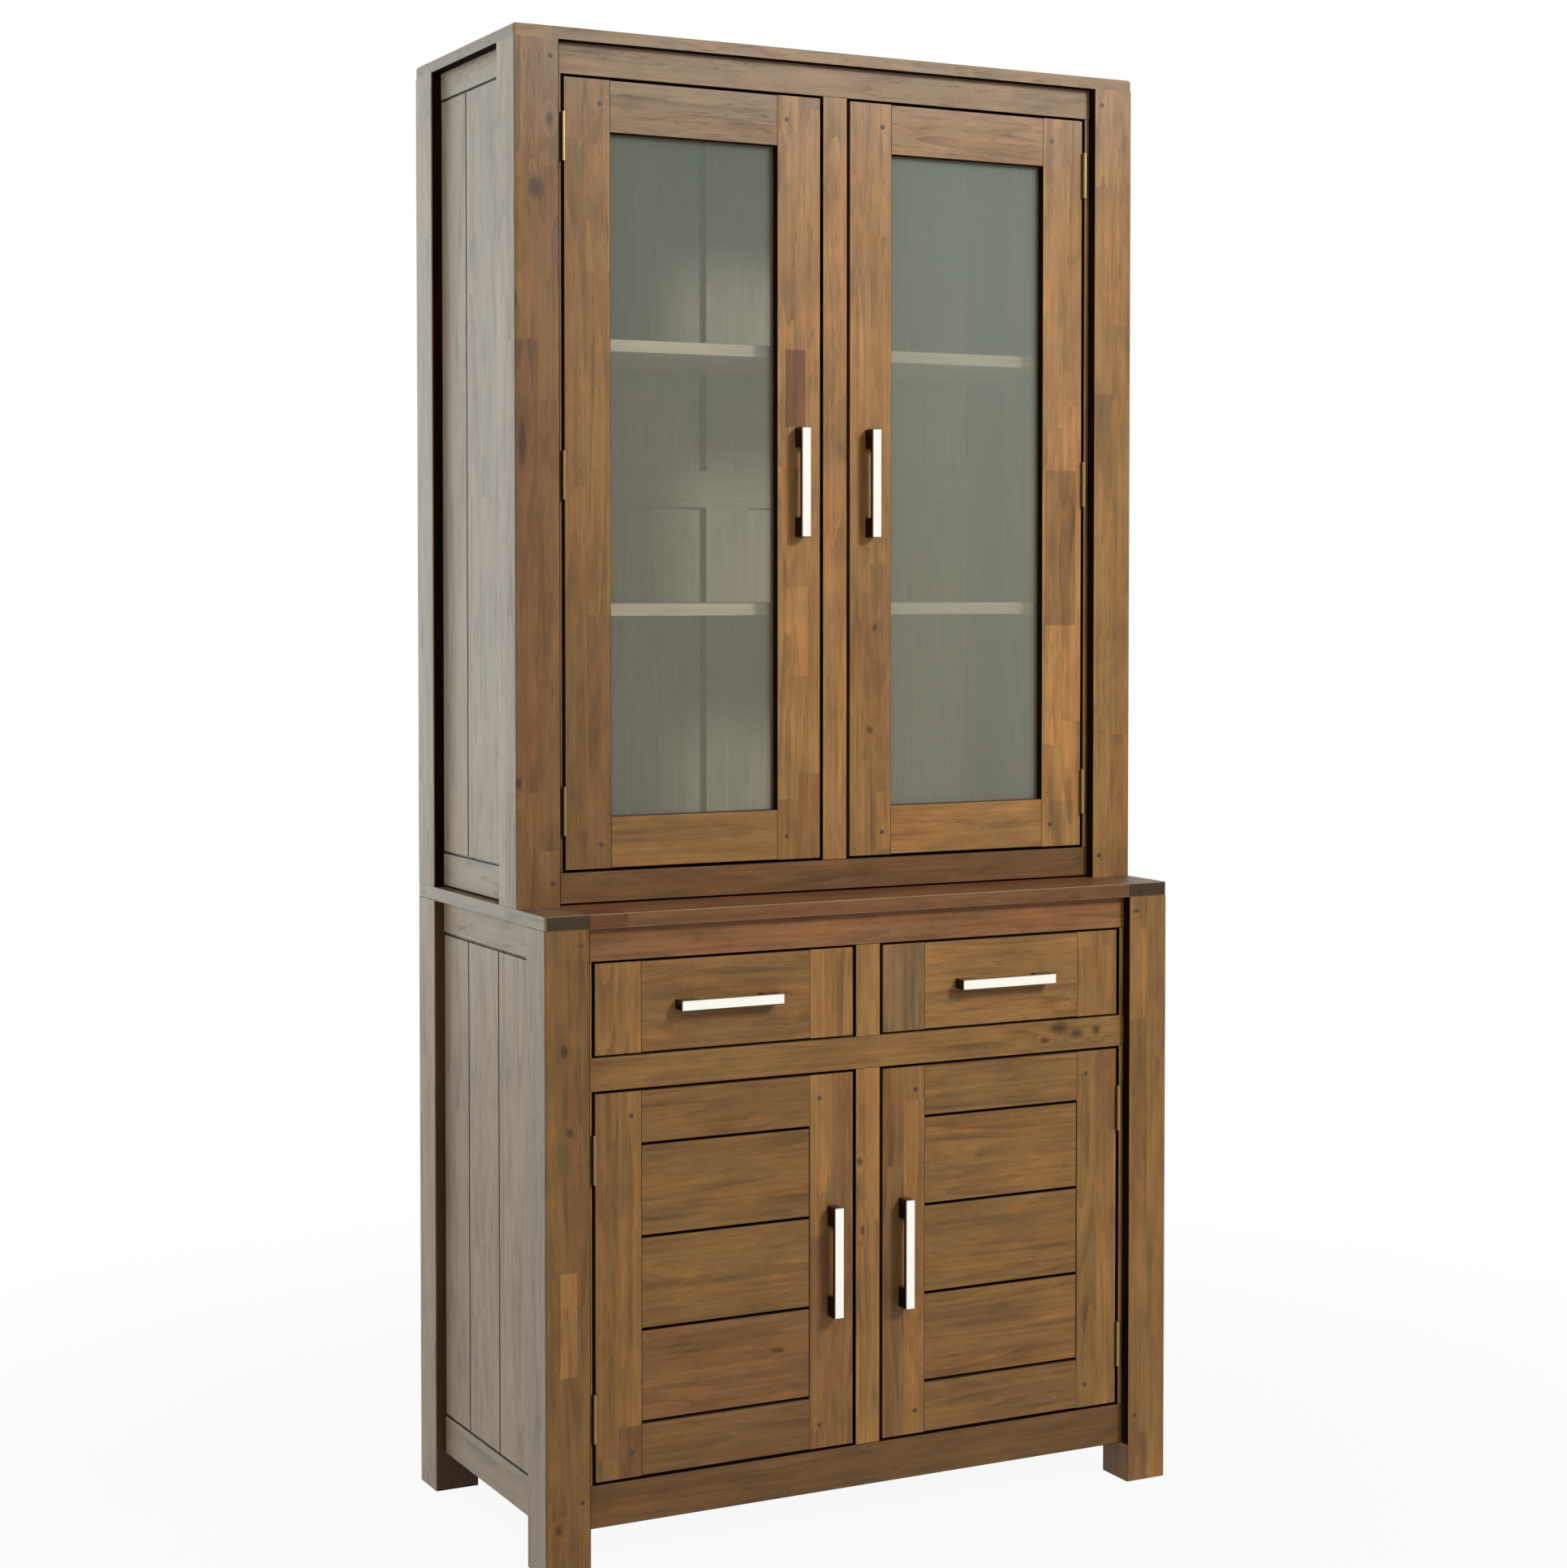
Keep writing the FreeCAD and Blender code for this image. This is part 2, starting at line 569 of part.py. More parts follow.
def back_bay(name, z):
    """The centre stile between two back rails, and the thin boards beside it."""
    body = block(name + "_stile_body", ("-back_stile_half", "back_stile_half"), BACK_Y, z)
    inner = "back_stile_half - tongue_length"
    tongue_z = (z[0] + " - tongue_reach", z[1] + " + tongue_reach")
    tongue = block(name + "_stile_tongue", ("-(%s)" % inner, inner), BACK_GROOVE, tongue_z)
    grooves = [block("%s_stile_groove_%s" % (name, side), x, BACK_GROOVE, z)
               for side, x in (("right", (inner, "back_stile_half")), ("left", ("-back_stile_half", "-(%s)" % inner)))]
    stile = joined(name + "_stile", [cut(name + "_stile_cut", body, grooves), tongue])
    board = block(name + "_board", ("back_stile_half - tongue_reach", "post_inner + tongue_reach"),
                  BACK_GROOVE, tongue_z)
    return stile, both_sides(name + "_boards", [board])


def make_backs():
    """Frame-and-board backs of the base and the hutch."""
    base_low = ("foot_height", "base_floor_top")
    base_mid = ("base_back_rail_bottom", "base_back_rail_bottom + back_rail_height")
    base_top = ("base_post_top - back_rail_height", "base_post_top")
    rails = [back_rail("base_back_low", base_low, ["above"]),
             back_rail("base_back_mid", base_mid, ["below", "above"]),
             back_rail("base_back_top", base_top, ["below"])]
    lower_stile, lower_boards = back_bay("base_back_lower", (base_low[1], base_mid[0]))
    upper_stile, upper_boards = back_bay("base_back_upper", (base_mid[1], base_top[0]))
    keep("base_back", set_of("base_back", rails + [lower_stile, upper_stile] + lower_boards + upper_boards))

    hutch_low = ("hutch_rail_bottom", "hutch_floor_top")
    hutch_mid = ("base_height + hutch_back_rail_bottom",
                 "base_height + hutch_back_rail_bottom + back_rail_height")
    hutch_top = ("hutch_post_top - back_rail_height", "hutch_post_top")
    rails = [back_rail("hutch_back_low", hutch_low, ["above"]),
             back_rail("hutch_back_mid", hutch_mid, ["below", "above"]),
             back_rail("hutch_back_top", hutch_top, ["below"])]
    lower_stile, lower_boards = back_bay("hutch_back_lower", (hutch_low[1], hutch_mid[0]))
    upper_stile, upper_boards = back_bay("hutch_back_upper", (hutch_mid[1], hutch_top[0]))
    keep("hutch_back_frame", set_of("hutch_back_frame", rails + [lower_stile, upper_stile]))
    keep("hutch_back_boards", set_of("hutch_back_boards", lower_boards + upper_boards))


# ---------------------------------------------------------------- posts and tops

def dowel_places():
    """Where the dowels stand, under the middle of the hutch's posts."""
    x = "half_width - post_width / 2"
    return [("front", x, "hutch_front + post_depth / 2"), ("rear", x, "back_face - post_depth / 2")]


def dowel_hole(name, x, y):
    return rod(name, "dowel_radius + dowel_clearance", x, y,
               ("base_height - dowel_depth", "base_height + dowel_depth"))


def pin_hole(name, y, under_shelf):
    """The hole of one shelf pin in the inner face of a post."""
    return cross_rod(name, "pin_radius", ("post_inner", "post_inner + pin_depth"), y, under_shelf + " - pin_radius")


HUTCH_SHELVES = (("lower", "base_height + lower_shelf_height"), ("upper", "base_height + upper_shelf_height"))


def make_posts(base_mortises, hutch_mortises):
    """The eight corner posts, with the joints of everything that they carry."""
    x = ("post_inner", "half_width")
    base_z = ("0", "base_post_top")
    hutch_z = ("base_height", "hutch_post_top")
    back_x = ("post_inner", "post_inner + tongue_length")
    rear_y = ("rear_post_front", "back_face")

    base_front_y = ("base_front", "base_post_back")
    stock = bar("base_post_front_stock", x, base_front_y, base_z, "z", "post_ease")
    cutters = base_mortises + [
        side_groove("base_front_groove", ("base_post_back - tongue_length", "base_post_back"),
                    "foot_height", "base_post_top"),
        pin_hole("base_front_pin_hole", "base_post_back - pin_inset", "base_shelf_height - shelf_thickness"),
    ]
    keep_pair("base_post_front", cut("base_post_front", stock, cutters))

    stock = bar("base_post_rear_stock", x, rear_y, base_z, "z", "post_ease")
    cutters = [
        side_groove("base_rear_groove", ("rear_post_front", "rear_post_front + tongue_length"),
                    "foot_height", "base_post_top"),
        block("base_back_groove", back_x, BACK_GROOVE, ("foot_height", "base_post_top")),
        pin_hole("base_rear_pin_hole", "rear_post_front + pin_inset", "base_shelf_height - shelf_thickness"),
    ]
    keep_pair("base_post_rear", cut("base_post_rear", stock, cutters))

    (_, dowel_x, front_y), (_, _, dowel_rear_y) = dowel_places()
    hutch_front_y = ("hutch_front", "hutch_post_back")
    stock = bar("hutch_post_front_stock", x, hutch_front_y, hutch_z, "z", "post_ease")
    cutters = hutch_mortises + [
        side_groove("hutch_front_groove", ("hutch_post_back - tongue_length", "hutch_post_back"),
                    "hutch_rail_bottom", "hutch_post_top"),
        dowel_hole("hutch_front_dowel_hole", dowel_x, front_y),
    ]
    for shelf, top in HUTCH_SHELVES:
        cutters.append(pin_hole("hutch_front_pin_hole_" + shelf, "hutch_post_back - pin_inset",
                                top + " - shelf_thickness"))
    keep_pair("hutch_post_front", cut("hutch_post_front", stock, cutters))

    stock = bar("hutch_post_rear_stock", x, rear_y, hutch_z, "z", "post_ease")
    cutters = [
        side_groove("hutch_rear_groove", ("rear_post_front", "rear_post_front + tongue_length"),
                    "hutch_rail_bottom", "hutch_post_top"),
        block("hutch_back_groove", back_x, BACK_GROOVE, ("hutch_rail_bottom", "hutch_post_top")),
        dowel_hole("hutch_rear_dowel_hole", dowel_x, dowel_rear_y),
    ]
    for shelf, top in HUTCH_SHELVES:
        cutters.append(pin_hole("hutch_rear_pin_hole_" + shelf, "rear_post_front + pin_inset",
                                top + " - shelf_thickness"))
    keep_pair("hutch_post_rear", cut("hutch_post_rear", stock, cutters))


def make_tops():
    """The base's top with its cross-grain ends, the hutch's top, and the dowels between the two."""
    y = ("base_front", "back_face")
    z = ("base_post_top", "base_height")
    board = bar("base_top_body", ("-post_inner", "post_inner"), y, z, "x")
    tongue_z = ("base_post_top + tongue_thickness", "base_height - tongue_thickness")
    tongue_y = ("base_front + tongue_length", "back_face - tongue_length")
    tongue = block("base_top_tongue", ("-post_inner - tongue_length", "post_inner + tongue_length"),
                   tongue_y, tongue_z)
    keep("base_top_board", joined("base_top_board", [board, tongue]))

    end, stock = timber("base_top_end_board", ("post_inner", "half_width"), y, z)
    corners = soften(end, stock, outer_edges(stock.Shape, FreeCAD.Vector(0, 0, 1)), "top_corner_bevel")
    document.recompute()
    rims = [name for axis in ((1, 0, 0), (0, 1, 0), (1, 1, 0), (1, -1, 0))
            for name in edges_along(corners.Shape, FreeCAD.Vector(*axis))
            if corners.Shape.getElement(name).BoundBox.XMax > value("post_inner") + 1e-3]
    soften(end, corners, rims, "edge_ease", "_rim")
    holes = [dowel_hole("base_top_dowel_" + place, x, at) for place, x, at in dowel_places()]
    whole = cut("base_top_end", end, holes + [tongue])
    keep("base_top_ends", set_of("base_top_ends", both_sides("base_top_end", [whole])))

    top, stock = timber("hutch_top_board", ("-half_width", "half_width"), ("hutch_front", "back_face"),
                        ("hutch_post_top", "overall_height"))
    corners = round_off(top, stock, edges_along(stock.Shape, FreeCAD.Vector(0, 0, 1)), "hutch_corner_radius")
    document.recompute()
    round_off(top, corners, upper_edges(corners.Shape), "hutch_rim_radius", "_rim")
    keep("hutch_top_board", top)

    dowels = [rod("dowel_" + place, "dowel_radius", x, at,
                  ("base_height - dowel_depth", "base_height + dowel_depth - swelling_gap"))
              for place, x, at in dowel_places()]
    keep("hutch_dowels", set_of("hutch_dowels", both_sides("dowel", dowels)))


# ---------------------------------------------------------------- floors, shelves and their pins

def floor_outline(frame_back, post_back):
    """A floor notched round the four posts and resting on the side rails."""
    wide = "plank_inner"
    narrow = "post_inner"
    front, rear = frame_back, "back_frame_front"
    right = [(narrow, front), (narrow, post_back), (wide, post_back),
             (wide, "rear_post_front"), (narrow, "rear_post_front"), (narrow, rear)]
    left = [("-" + x, y) for x, y in reversed(right)]
    return right + left


def make_floors():
    base = slab("base_floor_board", "XY_Plane", "base_floor_bottom", "floor_thickness",
                floor_outline("base_frame_back", "base_post_back"))
    bearer = block("base_floor_bearer", ("-centre_half", "centre_half"), ("base_frame_back", "back_frame_front"),
                   ("foot_height", "base_floor_bottom"))
    keep("base_floor", set_of("base_floor", [base, bearer]))
    keep("hutch_floor", slab("hutch_floor", "XY_Plane", "hutch_floor_bottom", "floor_thickness",
                             floor_outline("hutch_frame_back", "hutch_post_back")))


def shelf(name, frame_back, top):
    end = "post_inner - shelf_clearance"
    return bar(name, ("-(%s)" % end, end),
               (frame_back + " + shelf_setback", "back_frame_front - shelf_clearance"),
               (top + " - shelf_thickness", top), "x")


def shelf_pin(name, y, under_shelf):
    """A pin in the post with a flat blade under the shelf."""
    pin = cross_rod(name + "_pin", "pin_radius", ("post_inner", "post_inner + pin_depth"), y,
                    under_shelf + " - pin_radius")
    blade = block(name + "_blade", ("post_inner - pin_reach", "post_inner"),
                  (y + " - pin_blade_width / 2", y + " + pin_blade_width / 2"),
                  (under_shelf + " - pin_blade", under_shelf))
    return joined(name, [pin, blade])


def make_shelves():
    keep("base_shelf", shelf("base_shelf", "base_frame_back", "base_shelf_height"))
    rows = [("base", "base_post_back", "base_shelf_height")]
    shelves = []
    for name, top in HUTCH_SHELVES:
        shelves.append(shelf("hutch_shelf_" + name, "hutch_frame_back", top))
        rows.append(("hutch_" + name, "hutch_post_back", top))
    keep("hutch_shelves", set_of("hutch_shelves", shelves))
    pins = []
    for name, front_post_back, top in rows:
        under = top + " - shelf_thickness"
        pins.append(shelf_pin(name + "_pin_front", front_post_back + " - pin_inset", under))
        pins.append(shelf_pin(name + "_pin_rear", "rear_post_front + pin_inset", under))
    keep("shelf_pins", set_of("shelf_pins", both_sides("shelf_pin", pins)))


# ---------------------------------------------------------------- hinges, catches and handles

def hinge_leaf(name, x, y, hinge_z, first):
    """A hinge's plate with its own knuckles, and with room for those of the other leaf."""
    bottom = hinge_z + " - hinge_length / 2"
    plate = block(name + "_plate", x, y, (bottom, bottom + " + hinge_length"))
    knuckles = []
    rooms = []
    for number in range(KNUCKLES):
        own = number % 2 == first
        gap = "knuckle_gap / 2" if own else "-knuckle_gap / 2"
        radius = "knuckle_radius" if own else "knuckle_radius + hinge_face_clearance"
        low = "%s + %d * hinge_length / %d + %s" % (bottom, number, KNUCKLES, gap)
        high = "%s + %d * hinge_length / %d - %s" % (bottom, number + 1, KNUCKLES, gap)
        knuckle = rod("%s_knuckle_%d" % (name, number), radius, "hinge_axis_x", y[0], (low, high))
        (knuckles if own else rooms).append(knuckle)
    return [cut(name + "_cut_plate", plate, rooms)] + knuckles


def hinge(name, face, hinge_z):
    """A butt hinge: the frame's leaf, which holds the pin, and the door's leaf, which turns on it."""
    axis_y = face + " - hinge_axis_offset"
    leaf_y = (axis_y, face + " + leaf_width")
    whole_z = (hinge_z + " - hinge_length / 2", hinge_z + " + hinge_length / 2")
    fixed = hinge_leaf(name + "_frame", ("opening_side - leaf_thickness", "opening_side"), leaf_y, hinge_z, 0)
    moving = hinge_leaf(name + "_door", ("door_outer", "door_outer + leaf_thickness"), leaf_y, hinge_z, 1)
    inset = "hinge_length / %d" % (2 * KNUCKLES)
    pin = document.addObject("Part::Cylinder", name + "_pin")
    bind(pin, "Radius", "hinge_pin_radius")
    bind(pin, "Height", "hinge_length - 2 * " + inset)
    for axis, text in zip("xyz", ("hinge_axis_x", axis_y, whole_z[0] + " + " + inset)):
        bind(pin, ".Placement.Base." + axis, text)
    bore = rod(name + "_bore", "hinge_bore", "hinge_axis_x", axis_y, whole_z)
    door_leaf = cut(name + "_door_leaf", joined(name + "_door_whole", moving), [bore])
    return joined(name + "_frame_leaf", fixed + [pin]), door_leaf


def catch(name, frame_back, opening_top):
    """A magnetic catch behind the rail over a door."""
    x = ("centre_half + catch_offset - catch_width / 2", "centre_half + catch_offset + catch_width / 2")
    back = frame_back + " + catch_depth"
    mount = block(name + "_mount", x, (frame_back, back), (opening_top, opening_top + " + catch_mount"))
    magnet = block(name + "_magnet", x, (frame_back + " + strike_thickness + strike_clearance", back),
                   (opening_top + " - catch_reach", opening_top))
    return joined(name, [mount, magnet])


def strike(name, face, door_top):
    """The steel plate on the back of a door, opposite its catch."""
    centre = "centre_half + catch_offset"
    back = face + " + door_thickness"
    return block(name, (centre + " - strike_width / 2", centre + " + strike_width / 2"),
                 (back, back + " + strike_thickness"),
                 (door_top + " + door_clearance - catch_reach", door_top + " - strike_thickness"))


def handle(name, plane, offset, front, start):
    """A bar handle with a solid foot at each end. It is cut from a plate as wide as the handle."""
    end = start + " + handle_length"
    inner_start = start + " + handle_foot_length"
    inner_end = end + " - handle_foot_length"
    tip = front + " - handle_projection"
    under = tip + " + handle_bar_thickness"
    side_view = [(front, start), (tip, start), (tip, end), (front, end),
                 (front, inner_end), (under, inner_end), (under, inner_start), (front, inner_start)]
    if plane == "XY_Plane":
        side_view = [(along, out) for out, along in side_view]
    body = slab(name, plane, offset, "handle_width", side_view)
    document.recompute()
    pad = body.Tip
    names = []
    for number, edge in enumerate(pad.Shape.Edges, 1):
        on_wood = all(abs(vertex.Y - value(front)) < 1e-6 for vertex in edge.Vertexes)
        if not on_wood:
            names.append("Edge%d" % number)
    soften(body, pad, names, "handle_ease")
    return body


# ---------------------------------------------------------------- doors

def door_frame(name, face, bottom, top):
    """Stiles and rails of a right-hand door, each as its stock, with the rails' tenons."""
    y = (face, face + " + door_thickness")
    shoulder = "(door_thickness - tenon_thickness) / 2"
    tenon_y = (face + " + " + shoulder, face + " + " + shoulder + " + tenon_thickness")
    low = (bottom, bottom + " + door_rail_height")
    high = (top + " - door_rail_height", top)
    inset = "rebate_width + tongue_thickness"
    tenon_zs = ((low[0] + " + tenon_shoulder", low[1] + " - (%s)" % inset),
                (high[0] + " + " + inset, high[1] + " - tenon_shoulder"))
    tenon_xs = (("stile_inner - door_tenon_length", "stile_inner"),
                ("stile_outer", "stile_outer + door_tenon_length"))
    rails = []
    tenons = [[], []]
    for rail, z, tenon_z in (("bottom", low, tenon_zs[0]), ("top", high, tenon_zs[1])):
        pieces = [bar("%s_%s_rail" % (name, rail), ("stile_inner", "stile_outer"), y, z, "x")]
        for side in (0, 1):
            tenon = block("%s_%s_tenon_%d" % (name, rail, side), tenon_xs[side], tenon_y, tenon_z)
            pieces.append(tenon)
            tenons[side].append(tenon)
        rails.append(joined("%s_%s_rail_whole" % (name, rail), pieces))
    stiles = [bar(name + "_meeting_stile", ("door_inner", "stile_inner"), y, (bottom, top), "z"),
              bar(name + "_hinge_stile", ("stile_outer", "door_outer"), y, (bottom, top), "z")]
    return stiles, rails, tenons


def door_fittings(name, face, bottom, top, hinge_heights):
    """Hinges, strike plate and catch of one door. Gives the fixed metal."""
    fixed = []
    moving = []
    for number, height in enumerate(hinge_heights):
        frame_leaf, door_leaf = hinge("%s_hinge_%d" % (name, number), face, height)
        fixed.append(frame_leaf)
        moving.append(door_leaf)
    moving.append(strike(name + "_strike", face, top))
    keep_pair(name + "_fittings", set_of(name + "_fittings", moving))
    return fixed


def bead(name, y, corners):
    """One glazing bead, mitred at both ends."""
    return slab(name, "XZ_Plane", "-(%s)" % y[1], "(%s) - (%s)" % (y[1], y[0]), corners)


def make_glazed_doors():
    """The two glazed doors of the hutch."""
    name, face, bottom, top = "glazed_door", "hutch_face", "glazed_door_bottom", "glazed_door_top"
    stiles, rails, tenons = door_frame(name, face, bottom, top)
    sight_low = bottom + " + door_rail_height"
    sight_high = top + " - door_rail_height"
    back = face + " + door_thickness"
    glass_front = face + " + glass_lip"
    glass_back = glass_front + " + glass_thickness"
    rebate = block(name + "_rebate", ("stile_inner - rebate_width", "stile_outer + rebate_width"),
                   (glass_front, back), (sight_low + " - rebate_width", sight_high + " + rebate_width"))
    cut_stiles = [cut("%s_stile_%d" % (name, side), stiles[side], tenons[side] + [rebate]) for side in (0, 1)]
    cut_rails = [cut("%s_rail_%d" % (name, number), rail, [rebate]) for number, rail in enumerate(rails)]
    keep_pair(name + "_stiles", set_of(name + "_stiles", cut_stiles))
    keep_pair(name + "_rails", set_of(name + "_rails", cut_rails))

    edge = "(rebate_width - glass_clearance)"
    pane = block(name + "_glass", ("stile_inner - " + edge, "stile_outer + " + edge), (glass_front, glass_back),
                 (sight_low + " - " + edge, sight_high + " + " + edge))
    keep_pair(name + "_glass", pane)

    left, right = "stile_inner - rebate_width", "stile_outer + rebate_width"
    low, high = sight_low + " - rebate_width", sight_high + " + rebate_width"
    inner_left, inner_right, inner_low, inner_high = "stile_inner", "stile_outer", sight_low, sight_high
    bead_y = (glass_back, back)
    beads = [
        bead(name + "_bead_low", bead_y, ((left, low), (right, low), (inner_right, inner_low), (inner_left, inner_low))),
        bead(name + "_bead_high", bead_y,
             ((inner_left, inner_high), (inner_right, inner_high), (right, high), (left, high))),
        bead(name + "_bead_meeting", bead_y,
             ((left, low), (inner_left, inner_low), (inner_left, inner_high), (left, high))),
        bead(name + "_bead_hinge", bead_y,
             ((right, low), (right, high), (inner_right, inner_high), (inner_right, inner_low))),
    ]
    keep_pair(name + "_beads", set_of(name + "_beads", beads))

    middle = "(%s + %s) / 2" % (bottom, top)
    pull = handle(name + "_handle", "YZ_Plane", "door_inner + handle_inset - handle_width / 2", face,
                  middle + " - glazed_handle_drop - handle_length / 2")
    keep_pair(name + "_handle", pull)
    heights = (bottom + " + glazed_hinge_inset", middle, top + " - glazed_hinge_inset")
    return door_fittings(name, face, bottom, top, heights)


def make_base_doors():
    """The two slatted doors of the base."""
    name, face, bottom, top = "base_door", "base_face", "base_door_bottom", "base_door_top"
    stiles, rails, tenons = door_frame(name, face, bottom, top)
    low = bottom + " + door_rail_height"
    high = top + " - door_rail_height"
    slat_face = face + " + slat_recess"
    tongue_front = slat_face + " + (slat_thickness - tongue_thickness) / 2"
    tongue_y = (tongue_front, tongue_front + " + tongue_thickness")
    stile_z = (low + " - tongue_length", high + " + tongue_length")
    grooves = [block(name + "_groove_meeting", ("stile_inner - tongue_length", "stile_inner"), tongue_y, stile_z),
               block(name + "_groove_hinge", ("stile_outer", "stile_outer + tongue_length"), tongue_y, stile_z)]
    rail_x = ("stile_inner", "stile_outer")
    rail_grooves = [block(name + "_groove_low", rail_x, tongue_y, (low + " - tongue_length", low)),
                    block(name + "_groove_high", rail_x, tongue_y, (high, high + " + tongue_length"))]
    keep_pair(name + "_stiles", set_of(name + "_stiles", [
        cut("%s_stile_%d" % (name, side), stiles[side], tenons[side] + [grooves[side]]) for side in (0, 1)]))
    keep_pair(name + "_rails", set_of(name + "_rails", [
        cut("%s_rail_%d" % (name, number), rails[number], [rail_grooves[number]]) for number in (0, 1)]))

    pitch = "((%s) - (%s) - shadow_gap) / %d" % (high, low, SLATS)
    body_x = ("stile_inner + slat_side_gap", "stile_outer - slat_side_gap")
    tongue_x = ("stile_inner - tongue_reach", "stile_outer + tongue_reach")
    slat_y = (slat_face, slat_face + " + slat_thickness")
    slats = []
    for number in range(SLATS):
        slat = "%s_slat_%d" % (name, number)
        under = "%s + %d * %s + shadow_gap" % (low, number, pitch)
        over = "%s + %d * %s" % (low, number + 1, pitch)
        body = bar(slat + "_body", body_x, slat_y, (under, over), "x")
        tongue_low = under + " - tongue_reach" if number == 0 else under
        tongue = block(slat + "_tongue", tongue_x, tongue_y, (tongue_low, over + " + tongue_reach"))
        whole = joined(slat + "_whole", [body, tongue])
        if number:
            groove = block(slat + "_groove", tongue_x, tongue_y, (under, under + " + tongue_length"))
            whole = cut(slat, whole, [groove])
        slats.append(whole)
    keep_pair(name + "_slats", set_of(name + "_slats", slats))

    middle = "(%s + %s) / 2" % (bottom, top)
    pull = handle(name + "_handle", "YZ_Plane", "door_inner + handle_inset - handle_width / 2", face,
                  middle + " - handle_length / 2")
    keep_pair(name + "_handle", pull)
    return door_fittings(name, face, bottom, top, (bottom + " + base_hinge_inset", top + " - base_hinge_inset"))


def make_catches():
    catches = [catch("hutch_catch", "hutch_frame_back", "hutch_opening_top"),
               catch("base_catch", "base_frame_back", "base_opening_top")]
    keep("door_catches", set_of("door_catches", both_sides("door_catch", catches)))


# ---------------------------------------------------------------- drawers

def drawer_side(name, x):
    """A drawer side with dovetails at its front end, drawn from the side."""
    pitch = "drawer_side_height / %d" % TAILS
    root_y, tip_y = "base_frame_back", "drawer_tail_front"
    top = "drawer_bottom_edge + drawer_side_height"
    points = [("drawer_end", "drawer_bottom_edge"), ("drawer_end", top), (root_y, top)]
    for number in reversed(range(TAILS)):
        centre = "drawer_bottom_edge + %.1f * %s" % (number + 0.5, pitch)
        points.append((root_y, centre + " + %s * tail_root / 2" % pitch))
        points.append((tip_y, centre + " + %s * tail_tip / 2" % pitch))
        points.append((tip_y, centre + " - %s * tail_tip / 2" % pitch))
        points.append((root_y, centre + " - %s * tail_root / 2" % pitch))
    points.append((root_y, "drawer_bottom_edge"))
    return slab(name, "YZ_Plane", x, "drawer_side_thickness", points)


def make_drawers():
    """The two drawers: a front in three pieces, and a dovetailed box."""
    front_y = ("base_face", "base_frame_back")
    front_z = ("drawer_bottom_edge", "drawer_top_edge")
    sides = [drawer_side("drawer_side_inner", "door_inner"),
             drawer_side("drawer_side_outer", "door_outer - drawer_side_thickness")]
    groove = "drawer_side_thickness - drawer_groove"
    bottom = block("drawer_bottom", ("door_inner + " + groove, "door_outer - (%s)" % groove),
                   ("base_frame_back - drawer_groove", "drawer_end - swelling_gap"),
                   ("drawer_panel_bottom", "drawer_panel_top"))
    housing = "drawer_side_thickness - drawer_housing"
    rear = "drawer_end - drawer_back_inset"
    back = block("drawer_back", ("door_inner + " + housing, "door_outer - (%s)" % housing),
                 (rear + " - drawer_side_thickness", rear),
                 ("drawer_panel_top", "drawer_bottom_edge + drawer_side_height"))
    cut_sides = [cut("drawer_side_%d" % number, side, [bottom, back]) for number, side in enumerate(sides)]
    keep_pair("drawer_box", set_of("drawer_box", cut_sides + [back, bottom]))

    centre = bar("drawer_front_centre", ("stile_inner", "stile_outer"), front_y, front_z, "x")
    tongue_y = ("base_face + (frame_thickness - tenon_thickness) / 2",
                "base_face + (frame_thickness - tenon_thickness) / 2 + tenon_thickness")
    tongue = block("drawer_front_tongue", ("stile_inner - drawer_tongue", "stile_outer + drawer_tongue"),
                   tongue_y, ("drawer_bottom_edge + tenon_shoulder", "drawer_top_edge - tenon_shoulder"))
    middle = cut("drawer_front_middle", joined("drawer_front_whole", [centre, tongue]), [bottom])
    ends = [bar("drawer_front_end_inner", ("door_inner", "stile_inner"), front_y, front_z, "z"),
            bar("drawer_front_end_outer", ("stile_outer", "door_outer"), front_y, front_z, "z")]
    cut_ends = []
    for number, end in enumerate(ends):
        end = cut("drawer_end_tongued_%d" % number, end, [tongue])
        end = cut("drawer_end_dovetailed_%d" % number, end, [sides[number]])
        cut_ends.append(cut("drawer_end_%d" % number, end, [bottom]))
    keep_pair("drawer_front", set_of("drawer_front", [middle] + cut_ends))

    centre_z = "(drawer_bottom_edge + drawer_top_edge) / 2"
    pull = handle("drawer_handle", "XY_Plane", centre_z + " - handle_width / 2", "base_face",
                  "(door_inner + door_outer) / 2 - handle_length / 2")
    keep_pair("drawer_handle", pull)


def make_runners():
    """What the drawers slide on and between: runners, guides on top of them, and kickers."""
    y = ("base_frame_back", "back_frame_front")
    side_x = ("opening_side - runner_ledge", "post_inner")
    centre_x = ("-centre_half - runner_ledge", "centre_half + runner_ledge")
    side_guide_x = ("door_outer + guide_clearance", "post_inner")
    centre_guide_x = ("guide_clearance - door_inner", "door_inner - guide_clearance")
    layers = (("runner", ("runner_top - runner_thickness", "runner_top"), side_x, centre_x),
              ("guide", ("runner_top", "kicker_bottom"), side_guide_x, centre_guide_x),
              ("kicker", ("kicker_bottom", "kicker_bottom + runner_thickness"), side_x, centre_x))
    outer = [block("side_" + name, x, y, z) for name, z, x, _ in layers]
    centre = [block("centre_" + name, x, y, z) for name, z, _, x in layers]
    keep("drawer_runners", set_of("drawer_runners", both_sides("runner", outer) + centre))


# ---------------------------------------------------------------- the whole dresser

